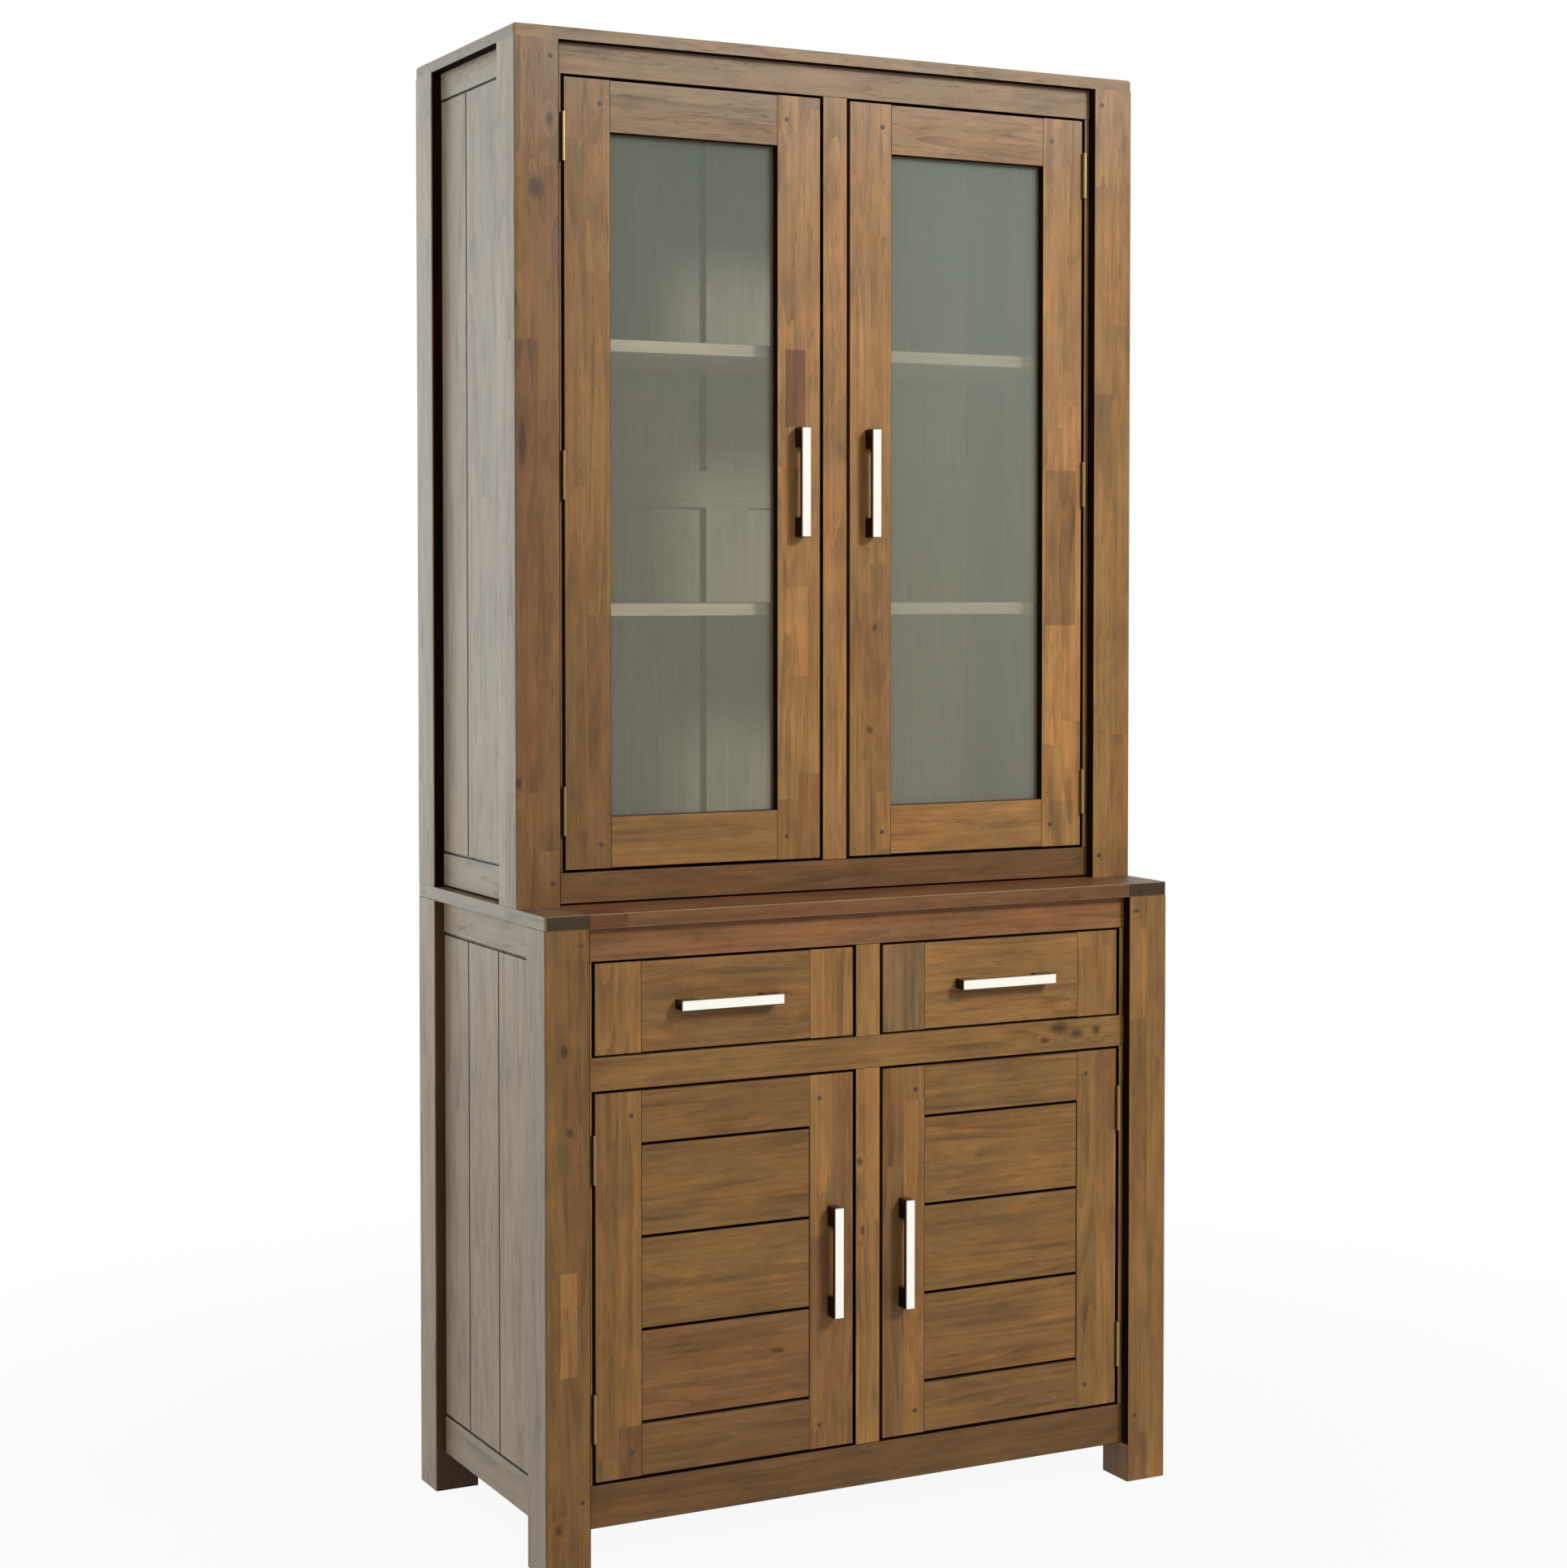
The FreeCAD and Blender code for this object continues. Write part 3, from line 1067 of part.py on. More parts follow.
def build():
    fill_sheets()
    make_side("base", "base_post_back", "foot_height", "base_post_top",
              "base_side_bottom_rail_height", "base_side_top_rail_height",
              ("rear_post_front - rear_plank_width",
               "rear_post_front - rear_plank_width - middle_plank_width"))
    make_side("hutch", "hutch_post_back", "hutch_rail_bottom", "hutch_post_top",
              "hutch_side_bottom_rail_height", "hutch_side_top_rail_height",
              ("rear_post_front - rear_plank_width",))
    base_mortises = make_base_frame()
    hutch_mortises = make_hutch_frame()
    make_backs()
    make_posts(base_mortises, hutch_mortises)
    make_tops()
    make_floors()
    make_shelves()
    fixed_leaves = make_glazed_doors() + make_base_doors()
    keep("hinge_frame_leaves", set_of("hinge_frame_leaves", both_sides("hinge_frame_leaf", fixed_leaves)))
    make_catches()
    make_drawers()
    make_runners()
    document.recompute()


def check():
    """Stop if any object failed or any sub-part is not sound."""
    for thing in document.Objects:
        if "Invalid" in thing.State or "Error" in thing.State:
            raise RuntimeError("%s failed: %s" % (thing.Name, thing.State))
    for piece in sub_parts:
        if piece.Shape.isNull() or not piece.Shape.isValid() or not piece.Shape.Solids:
            raise RuntimeError("%s has no sound solid" % piece.Label)


def export():
    """Write each sub-part to a STEP file of its own name."""
    os.makedirs("parts", exist_ok=True)
    for piece in sub_parts:
        piece.Shape.exportStep("parts/%s.step" % piece.Label)
    print("%d sub-parts, %d solids" % (len(sub_parts), sum(len(piece.Shape.Solids) for piece in sub_parts)))


build()
check()
export()
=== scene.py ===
import json
import math
import random

import bmesh
import bpy
import numpy as np
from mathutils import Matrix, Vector


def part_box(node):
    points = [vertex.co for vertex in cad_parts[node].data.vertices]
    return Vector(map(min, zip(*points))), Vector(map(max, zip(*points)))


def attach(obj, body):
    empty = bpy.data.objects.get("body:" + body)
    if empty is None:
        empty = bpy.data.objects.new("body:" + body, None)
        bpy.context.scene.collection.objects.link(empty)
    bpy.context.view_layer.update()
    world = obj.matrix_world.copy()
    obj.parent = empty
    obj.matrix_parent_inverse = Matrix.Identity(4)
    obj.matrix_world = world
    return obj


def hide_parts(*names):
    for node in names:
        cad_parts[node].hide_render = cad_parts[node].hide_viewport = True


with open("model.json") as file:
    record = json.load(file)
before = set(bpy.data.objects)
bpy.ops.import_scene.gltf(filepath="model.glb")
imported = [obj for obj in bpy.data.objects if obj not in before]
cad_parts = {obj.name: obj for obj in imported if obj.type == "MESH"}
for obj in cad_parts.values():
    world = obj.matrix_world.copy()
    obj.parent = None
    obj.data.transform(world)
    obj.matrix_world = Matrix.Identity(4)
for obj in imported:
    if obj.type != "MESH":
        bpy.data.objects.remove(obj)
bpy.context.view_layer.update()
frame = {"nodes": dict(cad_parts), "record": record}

bl_info = {
    "name": "Dresser with hutch",
    "version": (1, 0, 0),
    "blender": (4, 5, 0),
    "location": "3D View > Sidebar > Dresser",
    "description": "Gives a dresser's solids their boards, grain, glass, metal and a plain studio",
    "category": "Object",
}

MM = 0.001
NODES = frame["nodes"]
BODY_OF = {
    node: body
    for body, members in frame["record"]["behaviour"]["bodies"].items()
    for node in members
}
SLOT_OF = {part["node"]: part["material_slot"] for part in frame["record"]["subparts"]}
SIDES = ("left", "right")


def linear(code):
    """The linear colour of an sRGB hex value such as "7A5238"."""
    parts = [int(code[k:k + 2], 16) / 255 for k in (0, 2, 4)]
    return tuple(p / 12.92 if p <= 0.04045 else ((p + 0.055) / 1.055) ** 2.4 for p in parts)


def colour(name, description, code):
    """A colour property that starts at an sRGB hex value."""
    return bpy.props.FloatVectorProperty(
        name=name, description=description, default=linear(code), size=3,
        min=0, max=1, subtype="COLOR",
    )


def length(name, description, millimetres):
    """A length property that starts at a number of millimetres."""
    return bpy.props.FloatProperty(
        name=name, description=description, default=millimetres * MM,
        min=0, precision=4, subtype="DISTANCE", unit="LENGTH",
    )


def share(name, description, default, top=1.0):
    """A plain number property from 0 to top."""
    return bpy.props.FloatProperty(
        name=name, description=description, default=default, min=0, max=top, subtype="FACTOR",
    )


def power(name, description, watts):
    """A lamp's power, in watts."""
    return bpy.props.FloatProperty(
        name=name, description=description, default=watts, min=0, subtype="POWER", unit="POWER",
    )


class DresserTimber(bpy.types.PropertyGroup):
    """Colours and grain of the stained boards."""
    red: colour("Red stave", "Stain on a reddish stave", "6B3F22")
    brown: colour("Brown stave", "Stain on a plain brown stave", "765131")
    middle: colour("Middle stave", "Stain on most staves", "846136")
    gold: colour("Golden stave", "Stain on a light stave", "976D3E")
    grey: colour("Grey stave", "Stain on a greyish stave", "7D6343")
    # Dark grain also paints the shade in gaps and recesses, and the shadow line behind the glass.
    dark: colour("Dark grain", "Stain held by pores, late wood and joints", "2A1A0E")
    # The top of the hutch is painted paler and greyer: a painted sheen.
    top_sheen_colour: colour("Bleached wood", "Colour that the hutch's wood fades to at the top",
                     "A39683")
    top_sheen: share("Bleaching", "How far the top of the hutch has faded", 0.30)
    # The sides are painted paler and greyer: a painted sheen.
    painted_sheen: colour("Faded side", "Colour that the sides fade to", "A9A294")
    side_sheen: share("Side fading", "How far the sides have faded", 0.60)
    # The tops' bevels are painted paler: a painted highlight along the arris.
    painted_edge_highlight: colour("Worn edge", "Stain worn thin on the tops' edges", "B89A70")
    limed: colour("Limed wood", "Paler wood inside the hutch", "BFB29A")
    raw: colour("Raw hardwood", "Unstained wood of the drawers' boxes and runners", "B08D62")
    ring_gap: length("Ring spacing", "Distance between dark lines of the figure", 9)
    pore_length: length("Pore length", "Length of the open pores along the grain", 22)
    pore_width: length("Pore width", "Width of a pore as drawn", 1.1)
    roughness: share("Lacquer roughness", "Roughness of the satin lacquer", 0.42)


class DresserFittings(bpy.types.PropertyGroup):
    """Metal, plastic and small turned parts."""
    bar: colour("Bar metal", "Colour of the polished bars", "FFFAEF")
    # The bars' sides are painted dark: a painted shade for the dark room they reflect.
    bar_side_shade: colour("Bar sides", "Darkened sides of the bars", "3B2B1C")
    brass: colour("Hinge brass", "Colour of the hinges", "8F7A55")
    steel: colour("Pin steel", "Colour of pins and strikes", "B7B8BA")
    plastic: colour("Catch plastic", "Colour of the catches' cases", "3A2C22")
    peg: colour("Peg end grain", "Colour of the pegs' ends", "4F3720")
    peg_diameter: length("Peg diameter", "Diameter of the pegs that pin the joints", 4.6)
    screw_diameter: length("Hinge screw", "Diameter of a hinge screw's head", 6)
    handle_screw: length("Handle screw", "Diameter of a handle screw's head", 8)


class DresserGlass(bpy.types.PropertyGroup):
    """The doors' panes."""
    tint: colour("Glass tint", "Colour of the pane's pale bloom", "B4B9AC")
    bloom_left: share("Bloom, left", "How much of the room the left pane hides", 0.20)
    bloom_right: share("Bloom, right", "How much of the room the right pane hides", 0.29)


class DresserStudio(bpy.types.PropertyGroup):
    """Floor and light."""
    floor: colour("Floor", "Colour of the floor", "B9B5AE")
    room: share("Room light", "Strength of the even light", 0.42, 4)
    key: power("Key light", "Power of the front light", 118)
    rim: power("Side light", "Power of the light behind the left side", 80)
    left: power("Left light", "Power of the light at the left side", 26)
    floor_radius: length("Floor radius", "Radius of the round floor", 14000)


def add(tree, kind, inputs=None, out=0, stops=(), **settings):
    """Adds one shader node with its settings, colour stops and links, and gives one output."""
    node = tree.nodes.new("ShaderNode" + kind)
    for name, value in settings.items():
        setattr(node, name, value)
    for socket, value in (inputs or {}).items():
        if isinstance(value, bpy.types.NodeSocket):
            tree.links.new(value, node.inputs[socket])
        else:
            node.inputs[socket].default_value = value
    for number, (position, shade) in enumerate(stops):
        if number >= len(node.color_ramp.elements):
            node.color_ramp.elements.new(position)
        node.color_ramp.elements[number].position = position
        node.color_ramp.elements[number].color = (*shade, 1)
    return node.outputs[out] if node.outputs else None


def blank(name):
    """A new material with an empty node tree."""
    material = bpy.data.materials.new(name)
    material.use_nodes = True
    material.node_tree.nodes.clear()
    return material, material.node_tree


# Knots in the front faces: middle, half width and half length in millimetres.
KNOTS = (
    ((-427, -218, 645), 4, 6), ((-420, -218, 545), 4, 5), ((-443, -127, 1385), 5, 26),
    ((-449, -127, 965), 4, 8), ((-451, -127, 1560), 2, 10), ((-406, -127, 1785), 4, 6),
    ((-425, -127, 1700), 9, 14), ((52, -114, 1020), 4, 5), ((60, -114, 1155), 3, 4),
    ((290, -205, 622), 12, 8), ((318, -205, 612), 9, 5), ((268, -205, 606), 7, 4),
    ((349, -205, 615), 6, 6), ((-12, -205, 470), 4, 5), ((-8, -205, 380), 3, 6),
    ((-436, -218, 60), 4, 5), ((-130, -205, 240), 9, 3),
)
# Staves in the front faces that stand out: middle, half width and half length in millimetres,
# place on the ramp of stains and lightness. They reach 3 mm behind and before the face.
STAVE_DEPTH = 3
STAVES = (
    ((-58, -114.5, 1465), 14.5, 50, 0.16, 0.88),
    ((-55, -114.5, 1151), 15, 58, 0.72, 1.12),
    ((62, -114.5, 1090), 22, 110, 0.40, 1.06),
    ((73, -114.5, 900), 11, 38, 0.66, 1.08),
    ((348, -114.5, 1261), 24, 105, 0.42, 0.94),
    ((348, -114.5, 1036), 24, 120, 0.70, 1.12),
    ((-422, -218.5, 309), 11, 64, 0.78, 1.18),
)
# Where the red, brown, middle, gold and grey stains stand on the ramp.
RAMP = (0, 0.25, 0.5, 0.78, 1)
# A row of staves is shifted by up to this many staves, and each stave comes from its own place
# in the tree, up to this many millimetres away.
ROW_SHIFT = 7.3
TREE_SHIFT = (900, 900, 900)
# What varies in the wood: its length along, across and through a board in millimetres, how much
# fine detail it has, and the range of it that counts.
FIGURE = {
    "fibre": ((60, 1.3, 1.3), 4.0, 0.0, 1.0),
    "streak": ((240, 5, 5), 5.0, 0.0, 1.0),
    "smudge": ((95, 22, 22), 5.0, 0.50, 0.78),
    "blotch": ((85, 38, 38), 4.0, 0.0, 1.0),
    "patch": ((190, 34, 34), 3.0, 0.30, 0.70),
    "crowd": ((130, 14, 14), 2.0, 0.42, 0.62),
    "zone": ((220, 30, 30), 2.0, 0.35, 0.70),
}
# How much of the figure lightens and darkens the stain, and how dark its other parts are.
LIGHTENS = (("fibre", 0.40), ("streak", 0.95), ("blotch", 0.90))
LATE_WOOD, SMUDGES, PORES, KNOT = 0.36, 0.34, 0.48, 0.85
# Patches of warmer and of cooler stain: how much each part of the colour changes.
WARMER = (0.05, -0.015, -0.06)
COOLER = (-0.05, -0.015, 0.0)
# Length and width of a bend in the late wood, in ring spacings, and the rings in one bend.
BEND_LENGTH, BEND_WIDTH, RINGS = 70, 6, 9.0
# Heights in metres between which the top of the hutch is painted paler and greyer, a painted sheen,
# and how far from the middle its sides begin.
TOP_SHEEN_FROM, TOP_SHEEN_TO = 1.68, 1.89
SIDES_FROM = 0.4
# A painted shadow line at the left of the back's middle upright: where it is, and its half width
# where it is dark and where it ends.
SHADOW_LINE_PLACE = -37 * MM
SHADOW_LINE_DARK, SHADOW_LINE_END = 2.5 * MM, 4.2 * MM


def half_sizes_away(tree, here, centre, half_sizes):
    """Gives how far a place is from a centre in x, y and z, as a share of the half sizes there."""
    away = add(tree, "VectorMath", {0: here, 1: [part * MM for part in centre]},
               operation="SUBTRACT")
    return add(tree, "VectorMath", {0: away, 1: [part * MM for part in half_sizes]},
               operation="DIVIDE")


def stave_tones(tree, here, lay, tone, marked):
    """Gives each stave's place on the ramp of stains, its lightness and its random numbers."""
    # Every row of staves starts at its own place, and every stave takes its own tone.
    row = add(tree, "VectorMath", {0: lay}, operation="FLOOR")
    row = add(tree, "VectorMath", {0: row, 1: (1, 1, 0)}, operation="MULTIPLY")
    start = add(tree, "TexWhiteNoise", {"Vector": row}, out="Value")
    start = add(tree, "Math", {0: start, 1: ROW_SHIFT}, operation="MULTIPLY")
    start = add(tree, "CombineXYZ", {2: start})
    cell = add(tree, "VectorMath", {0: lay, 1: start}, operation="ADD")
    cell = add(tree, "VectorMath", {0: cell}, operation="FLOOR")
    chance = add(tree, "TexWhiteNoise", {"Vector": cell}).node.outputs
    middle, spread, lightness = add(tree, "SeparateXYZ", {0: tone}).node.outputs
    pick = add(tree, "Math", {0: chance["Value"], 1: 0.5}, operation="SUBTRACT")
    pick = add(tree, "Math", {0: pick, 1: spread, 2: middle}, operation="MULTIPLY_ADD",
               use_clamp=True)
    for centre, wide, tall, ramp_place, light in marked:
        apart = half_sizes_away(tree, here, centre, (wide, STAVE_DEPTH, tall))
        apart = add(tree, "VectorMath", {0: apart}, operation="ABSOLUTE")
        apart = add(tree, "VectorMath", {0: apart}, operation="FLOOR")
        apart = add(tree, "VectorMath", {0: apart}, out="Value", operation="LENGTH")
        # Inside the stave, every share is below 1 and rounds down to nothing.
        inside = add(tree, "Math", {0: apart, 1: 0.5}, operation="LESS_THAN")
        pick = add(tree, "MapRange", {"Value": inside, "To Min": pick, "To Max": ramp_place})
        light = add(tree, "MapRange", {"Value": inside, "To Min": 1.0, "To Max": light})
        lightness = add(tree, "Math", {0: lightness, 1: light}, operation="MULTIPLY")
    return pick, lightness, chance["Color"]


def figure(tree, place):
    """Gives what varies in the wood, by its name in FIGURE."""
    level = {}
    for word, (lengths, detail, low, high) in FIGURE.items():
        where = add(tree, "VectorMath", {0: place, 1: [1 / part for part in lengths]},
                    operation="MULTIPLY")
        value = add(tree, "TexNoise", {"Vector": where, "Scale": 1.0, "Detail": detail,
                                       "Roughness": 0.62, "Distortion": 0.3})
        level[word] = add(tree, "MapRange", {"Value": value, "From Min": low, "From Max": high},
                          interpolation_type="LINEAR" if high == 1.0 else "SMOOTHSTEP")
    return level


def knots(tree, here, grain):
    """Gives how dark the wood is with knots, and how far the grain turns round them."""
    nearest = None
    for centre, wide, tall in KNOTS:
        apart = half_sizes_away(tree, here, centre, (wide, wide, tall))
        apart = add(tree, "VectorMath", {0: apart}, out="Value", operation="LENGTH")
        nearest = apart if nearest is None else add(tree, "Math", {0: nearest, 1: apart},
                                                    operation="MINIMUM")
    # A knot fades out between 1.2 and 2.4 half sizes from its middle, with an edge ragged by 9 mm
    # along the grain and 2.5 mm across it. The grain turns round it up to 5 half sizes away.
    ragged = add(tree, "VectorMath", {0: grain, 1: (1 / 9, 1 / 2.5, 1 / 2.5)},
                 operation="MULTIPLY")
    ragged = add(tree, "TexNoise", {"Vector": ragged, "Scale": 1.0, "Detail": 3.0})
    ragged = add(tree, "Math", {0: ragged, 1: 1.6, 2: nearest}, operation="MULTIPLY_ADD")
    knot = add(tree, "MapRange", {"Value": ragged, "From Min": 1.2, "From Max": 2.4,
                                  "To Min": 0.8, "To Max": 0.0}, interpolation_type="SMOOTHSTEP")
    turn = add(tree, "MapRange", {"Value": nearest, "From Min": 0.6, "From Max": 5.0,
                                  "To Min": 0.1, "To Max": 0.0}, interpolation_type="SMOOTHSTEP")
    return knot, turn


def late_wood(tree, place, turn, gap):
    """Gives the dark lines of late wood."""
    # Contours of a stretched noise are the cathedrals and lines of flat-sawn wood.
    wide = 1 / (BEND_WIDTH * gap)
    rings = add(tree, "VectorMath", {0: place, 1: (1 / (BEND_LENGTH * gap), wide, wide)},
                operation="MULTIPLY")
    rings = add(tree, "TexNoise", {"Vector": rings, "Scale": 1.0, "Detail": 1.5,
                                   "Roughness": 0.45, "Distortion": 0.1})
    rings = add(tree, "Math", {0: rings, 1: turn}, operation="ADD")
    rings = add(tree, "Math", {0: rings, 1: RINGS}, operation="MULTIPLY")
    rings = add(tree, "Math", {0: rings}, operation="FRACT")
    return add(tree, "MapRange", {"Value": rings, "From Min": 0.1},
               interpolation_type="SMOOTHSTEP")


def open_pores(tree, place, timber):
    """Gives the open pores, as short dark lines along the grain."""
    # A real pore is 0.3 mm wide. It is drawn wider, or it wouldn't show.
    width = MM / timber.pore_width
    pores = add(tree, "VectorMath", {0: place, 1: (MM / timber.pore_length, width, width)},
                operation="MULTIPLY")
    pores = add(tree, "TexNoise", {"Vector": pores, "Scale": 1.0, "Detail": 2.0,
                                   "Roughness": 0.6})
    return add(tree, "MapRange", {"Value": pores, "From Min": 0.57, "From Max": 0.68})


def painted_sheen(tree, base, here, timber, top_sheen):
    """Paints a sheen, as paler and greyer colour, on the sides and on the top of the hutch."""
    # The top of the hutch is painted paler between these heights: a painted sheen.
    if top_sheen:
        height = add(tree, "SeparateXYZ", {0: here}, out=2)
        pale = add(tree, "MapRange", {"Value": height, "From Min": TOP_SHEEN_FROM,
                                      "From Max": TOP_SHEEN_TO, "To Max": top_sheen},
                   interpolation_type="SMOOTHSTEP")
        base = add(tree, "Mix", {0: pale, 6: base, 7: (*timber.top_sheen_colour, 1)}, out=2,
                   data_type="RGBA")
    # The sides are painted paler and greyer, a painted sheen: the hutch's inside as well, behind
    # its glass, and only the outside of the base.
    side_sheen_mask = add(tree, "TexCoord", out="Normal")
    side_sheen_mask = add(tree, "SeparateXYZ", {0: side_sheen_mask}, out=0)
    # A face is a side's where its normal points outward, left or right.
    side = add(tree, "SeparateXYZ", {0: here}, out=0)
    far = add(tree, "Math", {0: side}, operation="ABSOLUTE")
    far = add(tree, "Math", {0: far, 1: SIDES_FROM}, operation="GREATER_THAN")
    side = add(tree, "Math", {0: side}, operation="SIGN")
    side_sheen_mask = add(tree, "Math", {0: side_sheen_mask, 1: side}, operation="MULTIPLY")
    if top_sheen:
        side_sheen_mask = add(tree, "Math", {0: side_sheen_mask}, operation="ABSOLUTE")
    side_sheen_mask = add(tree, "Math", {0: side_sheen_mask, 1: far}, operation="MULTIPLY")
    side_sheen_mask = add(tree, "MapRange", {"Value": side_sheen_mask, "From Min": 0.7, "From Max": 0.95,
                                   "To Max": timber.side_sheen})
    return add(tree, "Mix", {0: side_sheen_mask, 6: base, 7: (*timber.painted_sheen, 1)}, out=2, data_type="RGBA")


def stained_timber(name, stains, depth, top_sheen):
    """Acacia, glued up from staves, sanded, stained and sprayed with satin lacquer."""
    # The eye sees staves that took the stain in different tones, dark late wood and open pores,
    # soft smudges round small knots, and a low even sheen.
    timber = bpy.context.scene.dresser_timber
    dark = (*timber.dark, 1)
    outer = top_sheen is not None
    material, tree = blank(name)
    grain = add(tree, "Attribute", out="Vector", attribute_name="grain")
    lay = add(tree, "Attribute", out="Vector", attribute_name="lay")
    tone = add(tree, "Attribute", out="Vector", attribute_name="tone")
    stain_and_shade = add(tree, "Attribute", out="Fac", attribute_name="joint")
    here = add(tree, "TexCoord", out="Object")
    pick, shade, chance = stave_tones(tree, here, lay, tone, STAVES if outer else ())
    base = add(tree, "ValToRGB", {"Fac": pick}, stops=list(zip(RAMP, stains)))
    place = add(tree, "VectorMath", {0: chance, 1: TREE_SHIFT, 2: grain},
                operation="MULTIPLY_ADD")
    level = figure(tree, place)
    knot, turn = knots(tree, here, grain)
    late = late_wood(tree, place, turn, timber.ring_gap / MM)
    late = add(tree, "Math", {0: late, 1: level["zone"]}, operation="MULTIPLY")
    pores = open_pores(tree, place, timber)
    pores = add(tree, "Math", {0: pores, 1: level["crowd"]}, operation="MULTIPLY")
    # Fibres and streaks make each tone lighter and darker, and patches shift its hue.
    for word, strength in LIGHTENS:
        part = add(tree, "Math", {0: level[word], 1: strength * depth,
                                  2: 1.0 - strength * depth / 2}, operation="MULTIPLY_ADD")
        shade = add(tree, "Math", {0: shade, 1: part}, operation="MULTIPLY")
    shade = add(tree, "CombineXYZ", {0: shade, 1: shade, 2: shade})
    hue = add(tree, "ValToRGB", {"Fac": level["patch"]}, stops=(
        (0.1, [1 + part * depth for part in WARMER]), (0.5, (1, 1, 1)),
        (0.9, [1 + part * depth for part in COOLER])))
    shade = add(tree, "VectorMath", {0: shade, 1: hue}, operation="MULTIPLY")
    base = add(tree, "VectorMath", {0: base, 1: shade}, operation="MULTIPLY")
    if outer:
        base = painted_sheen(tree, base, here, timber, top_sheen)
    if "thin board" in name:
        # A painted shadow line on the boards at the left of the back's middle upright.
        shadow_line = add(tree, "SeparateXYZ", {0: here}, out=0)
        shadow_line = add(tree, "Math", {0: shadow_line, 1: -SHADOW_LINE_PLACE}, operation="ADD")
        shadow_line = add(tree, "Math", {0: shadow_line}, operation="ABSOLUTE")
        shadow_line = add(tree, "MapRange", {"Value": shadow_line, "From Min": SHADOW_LINE_DARK,
                                        "From Max": SHADOW_LINE_END, "To Min": 1.0, "To Max": 0.0})
        base = add(tree, "Mix", {0: shadow_line, 6: base, 7: dark}, out=2, data_type="RGBA")
    # Bevels below zero are painted paler: a painted highlight along the arris.
    painted_edge_highlight = add(tree, "Math", {0: stain_and_shade, 1: -1.0}, operation="MULTIPLY", use_clamp=True)
    base = add(tree, "Mix", {0: painted_edge_highlight, 6: base, 7: (*timber.painted_edge_highlight, 1)}, out=2, data_type="RGBA")
    # Stain gathered at joints and end grain darkens the wood, and so does the painted shade in gaps
    # and recesses.
    for amount, strength in ((late, LATE_WOOD * depth), (level["smudge"], SMUDGES * depth),
                             (pores, PORES * depth), (knot, KNOT), (stain_and_shade, 1.0)):
        amount = add(tree, "Math", {0: amount, 1: strength}, operation="MULTIPLY", use_clamp=True)
        base = add(tree, "Mix", {0: amount, 6: base, 7: dark}, out=2, data_type="RGBA")
    # The lacquer is a little duller over fibres and pores, and sinks into the pores.
    gloss = add(tree, "Math", {0: level["fibre"], 1: 0.16, 2: timber.roughness - 0.05},
                operation="MULTIPLY_ADD")
    gloss = add(tree, "Math", {0: pores, 1: 0.15, 2: gloss}, operation="MULTIPLY_ADD")
    relief = add(tree, "Math", {0: level["fibre"], 1: 0.5}, operation="MULTIPLY")
    relief = add(tree, "Math", {0: relief, 1: pores}, operation="SUBTRACT")
    relief = add(tree, "Bump", {"Height": relief, "Strength": 0.35, "Distance": 0.25 * MM})
    shader = add(tree, "BsdfPrincipled", {"Base Color": base, "Roughness": gloss,
                                          "Normal": relief, "IOR": 1.5,
                                          "Specular IOR Level": 0.25})
    add(tree, "OutputMaterial", {0: shader})
    return material


def uneven(tree, sizes, detail, stops):
    """Gives spots of a size in millimetres along x, y and z, and the colours they get."""
    here = add(tree, "TexCoord", out="Object")
    spots = add(tree, "VectorMath", {0: here, 1: [size * MM for size in sizes]},
                operation="DIVIDE")
    spots = add(tree, "TexNoise", {"Vector": spots, "Scale": 1.0, "Detail": detail})
    return spots, add(tree, "ValToRGB", {"Fac": spots}, stops=stops)


def plated_metal(name, shade, rough, sides=None):
    """Steel, pressed or cast, then plated and buffed."""
    # The eye sees the room mirrored in it, duller where the plate has tarnished. A bar's sides are
    # painted dark, a painted shade standing in for the dark room that they reflect, and only its
    # front is polished bright.
    material, tree = blank(name)
    spots, base = uneven(tree, (25, 25, 25), 3.0,
                         ((0.4, shade), (0.8, [part * 0.97 for part in shade])))
    gloss = add(tree, "Math", {0: spots, 1: 0.04, 2: rough}, operation="MULTIPLY_ADD")
    if sides:
        side_shade_mask = add(tree, "TexCoord", out="Normal")
        side_shade_mask = add(tree, "SeparateXYZ", {0: side_shade_mask}, out=1)
        side_shade_mask = add(tree, "MapRange", {"Value": side_shade_mask, "From Min": -0.9, "From Max": -0.6})
        base = add(tree, "Mix", {0: side_shade_mask, 6: base, 7: (*sides, 1)}, out=2, data_type="RGBA")
    shader = add(tree, "BsdfPrincipled", {"Base Color": base, "Metallic": 1.0,
                                          "Roughness": gloss})
    add(tree, "OutputMaterial", {0: shader})
    return material


def float_glass(name, tint, bloom):
    """Float glass, washed but not polished dry."""
    # The eye sees through it, past a pale grey-green bloom that is uneven from wiping.
    material, tree = blank(name)
    _, base = uneven(tree, (140, 140, 500), 3.0,
                     ((0.3, tint), (0.7, [part * 0.9 for part in tint])))
    # It is warmer up to 1.2 m, and cooler from 1.8 m on.
    height = add(tree, "TexCoord", out="Object")
    height = add(tree, "SeparateXYZ", {0: height}, out=2)
    height = add(tree, "MapRange", {"Value": height, "From Min": 1.2, "From Max": 1.8})
    height = add(tree, "ValToRGB", {"Fac": height}, stops=((0, (1, 0.97, 0.86)), (1, (0.93, 1, 1))))
    base = add(tree, "VectorMath", {0: base, 1: height}, operation="MULTIPLY")
    shader = add(tree, "BsdfPrincipled", {"Base Color": base, "Roughness": 0.05, "IOR": 1.52,
                                          "Alpha": bloom})
    add(tree, "OutputMaterial", {0: shader})
    return material


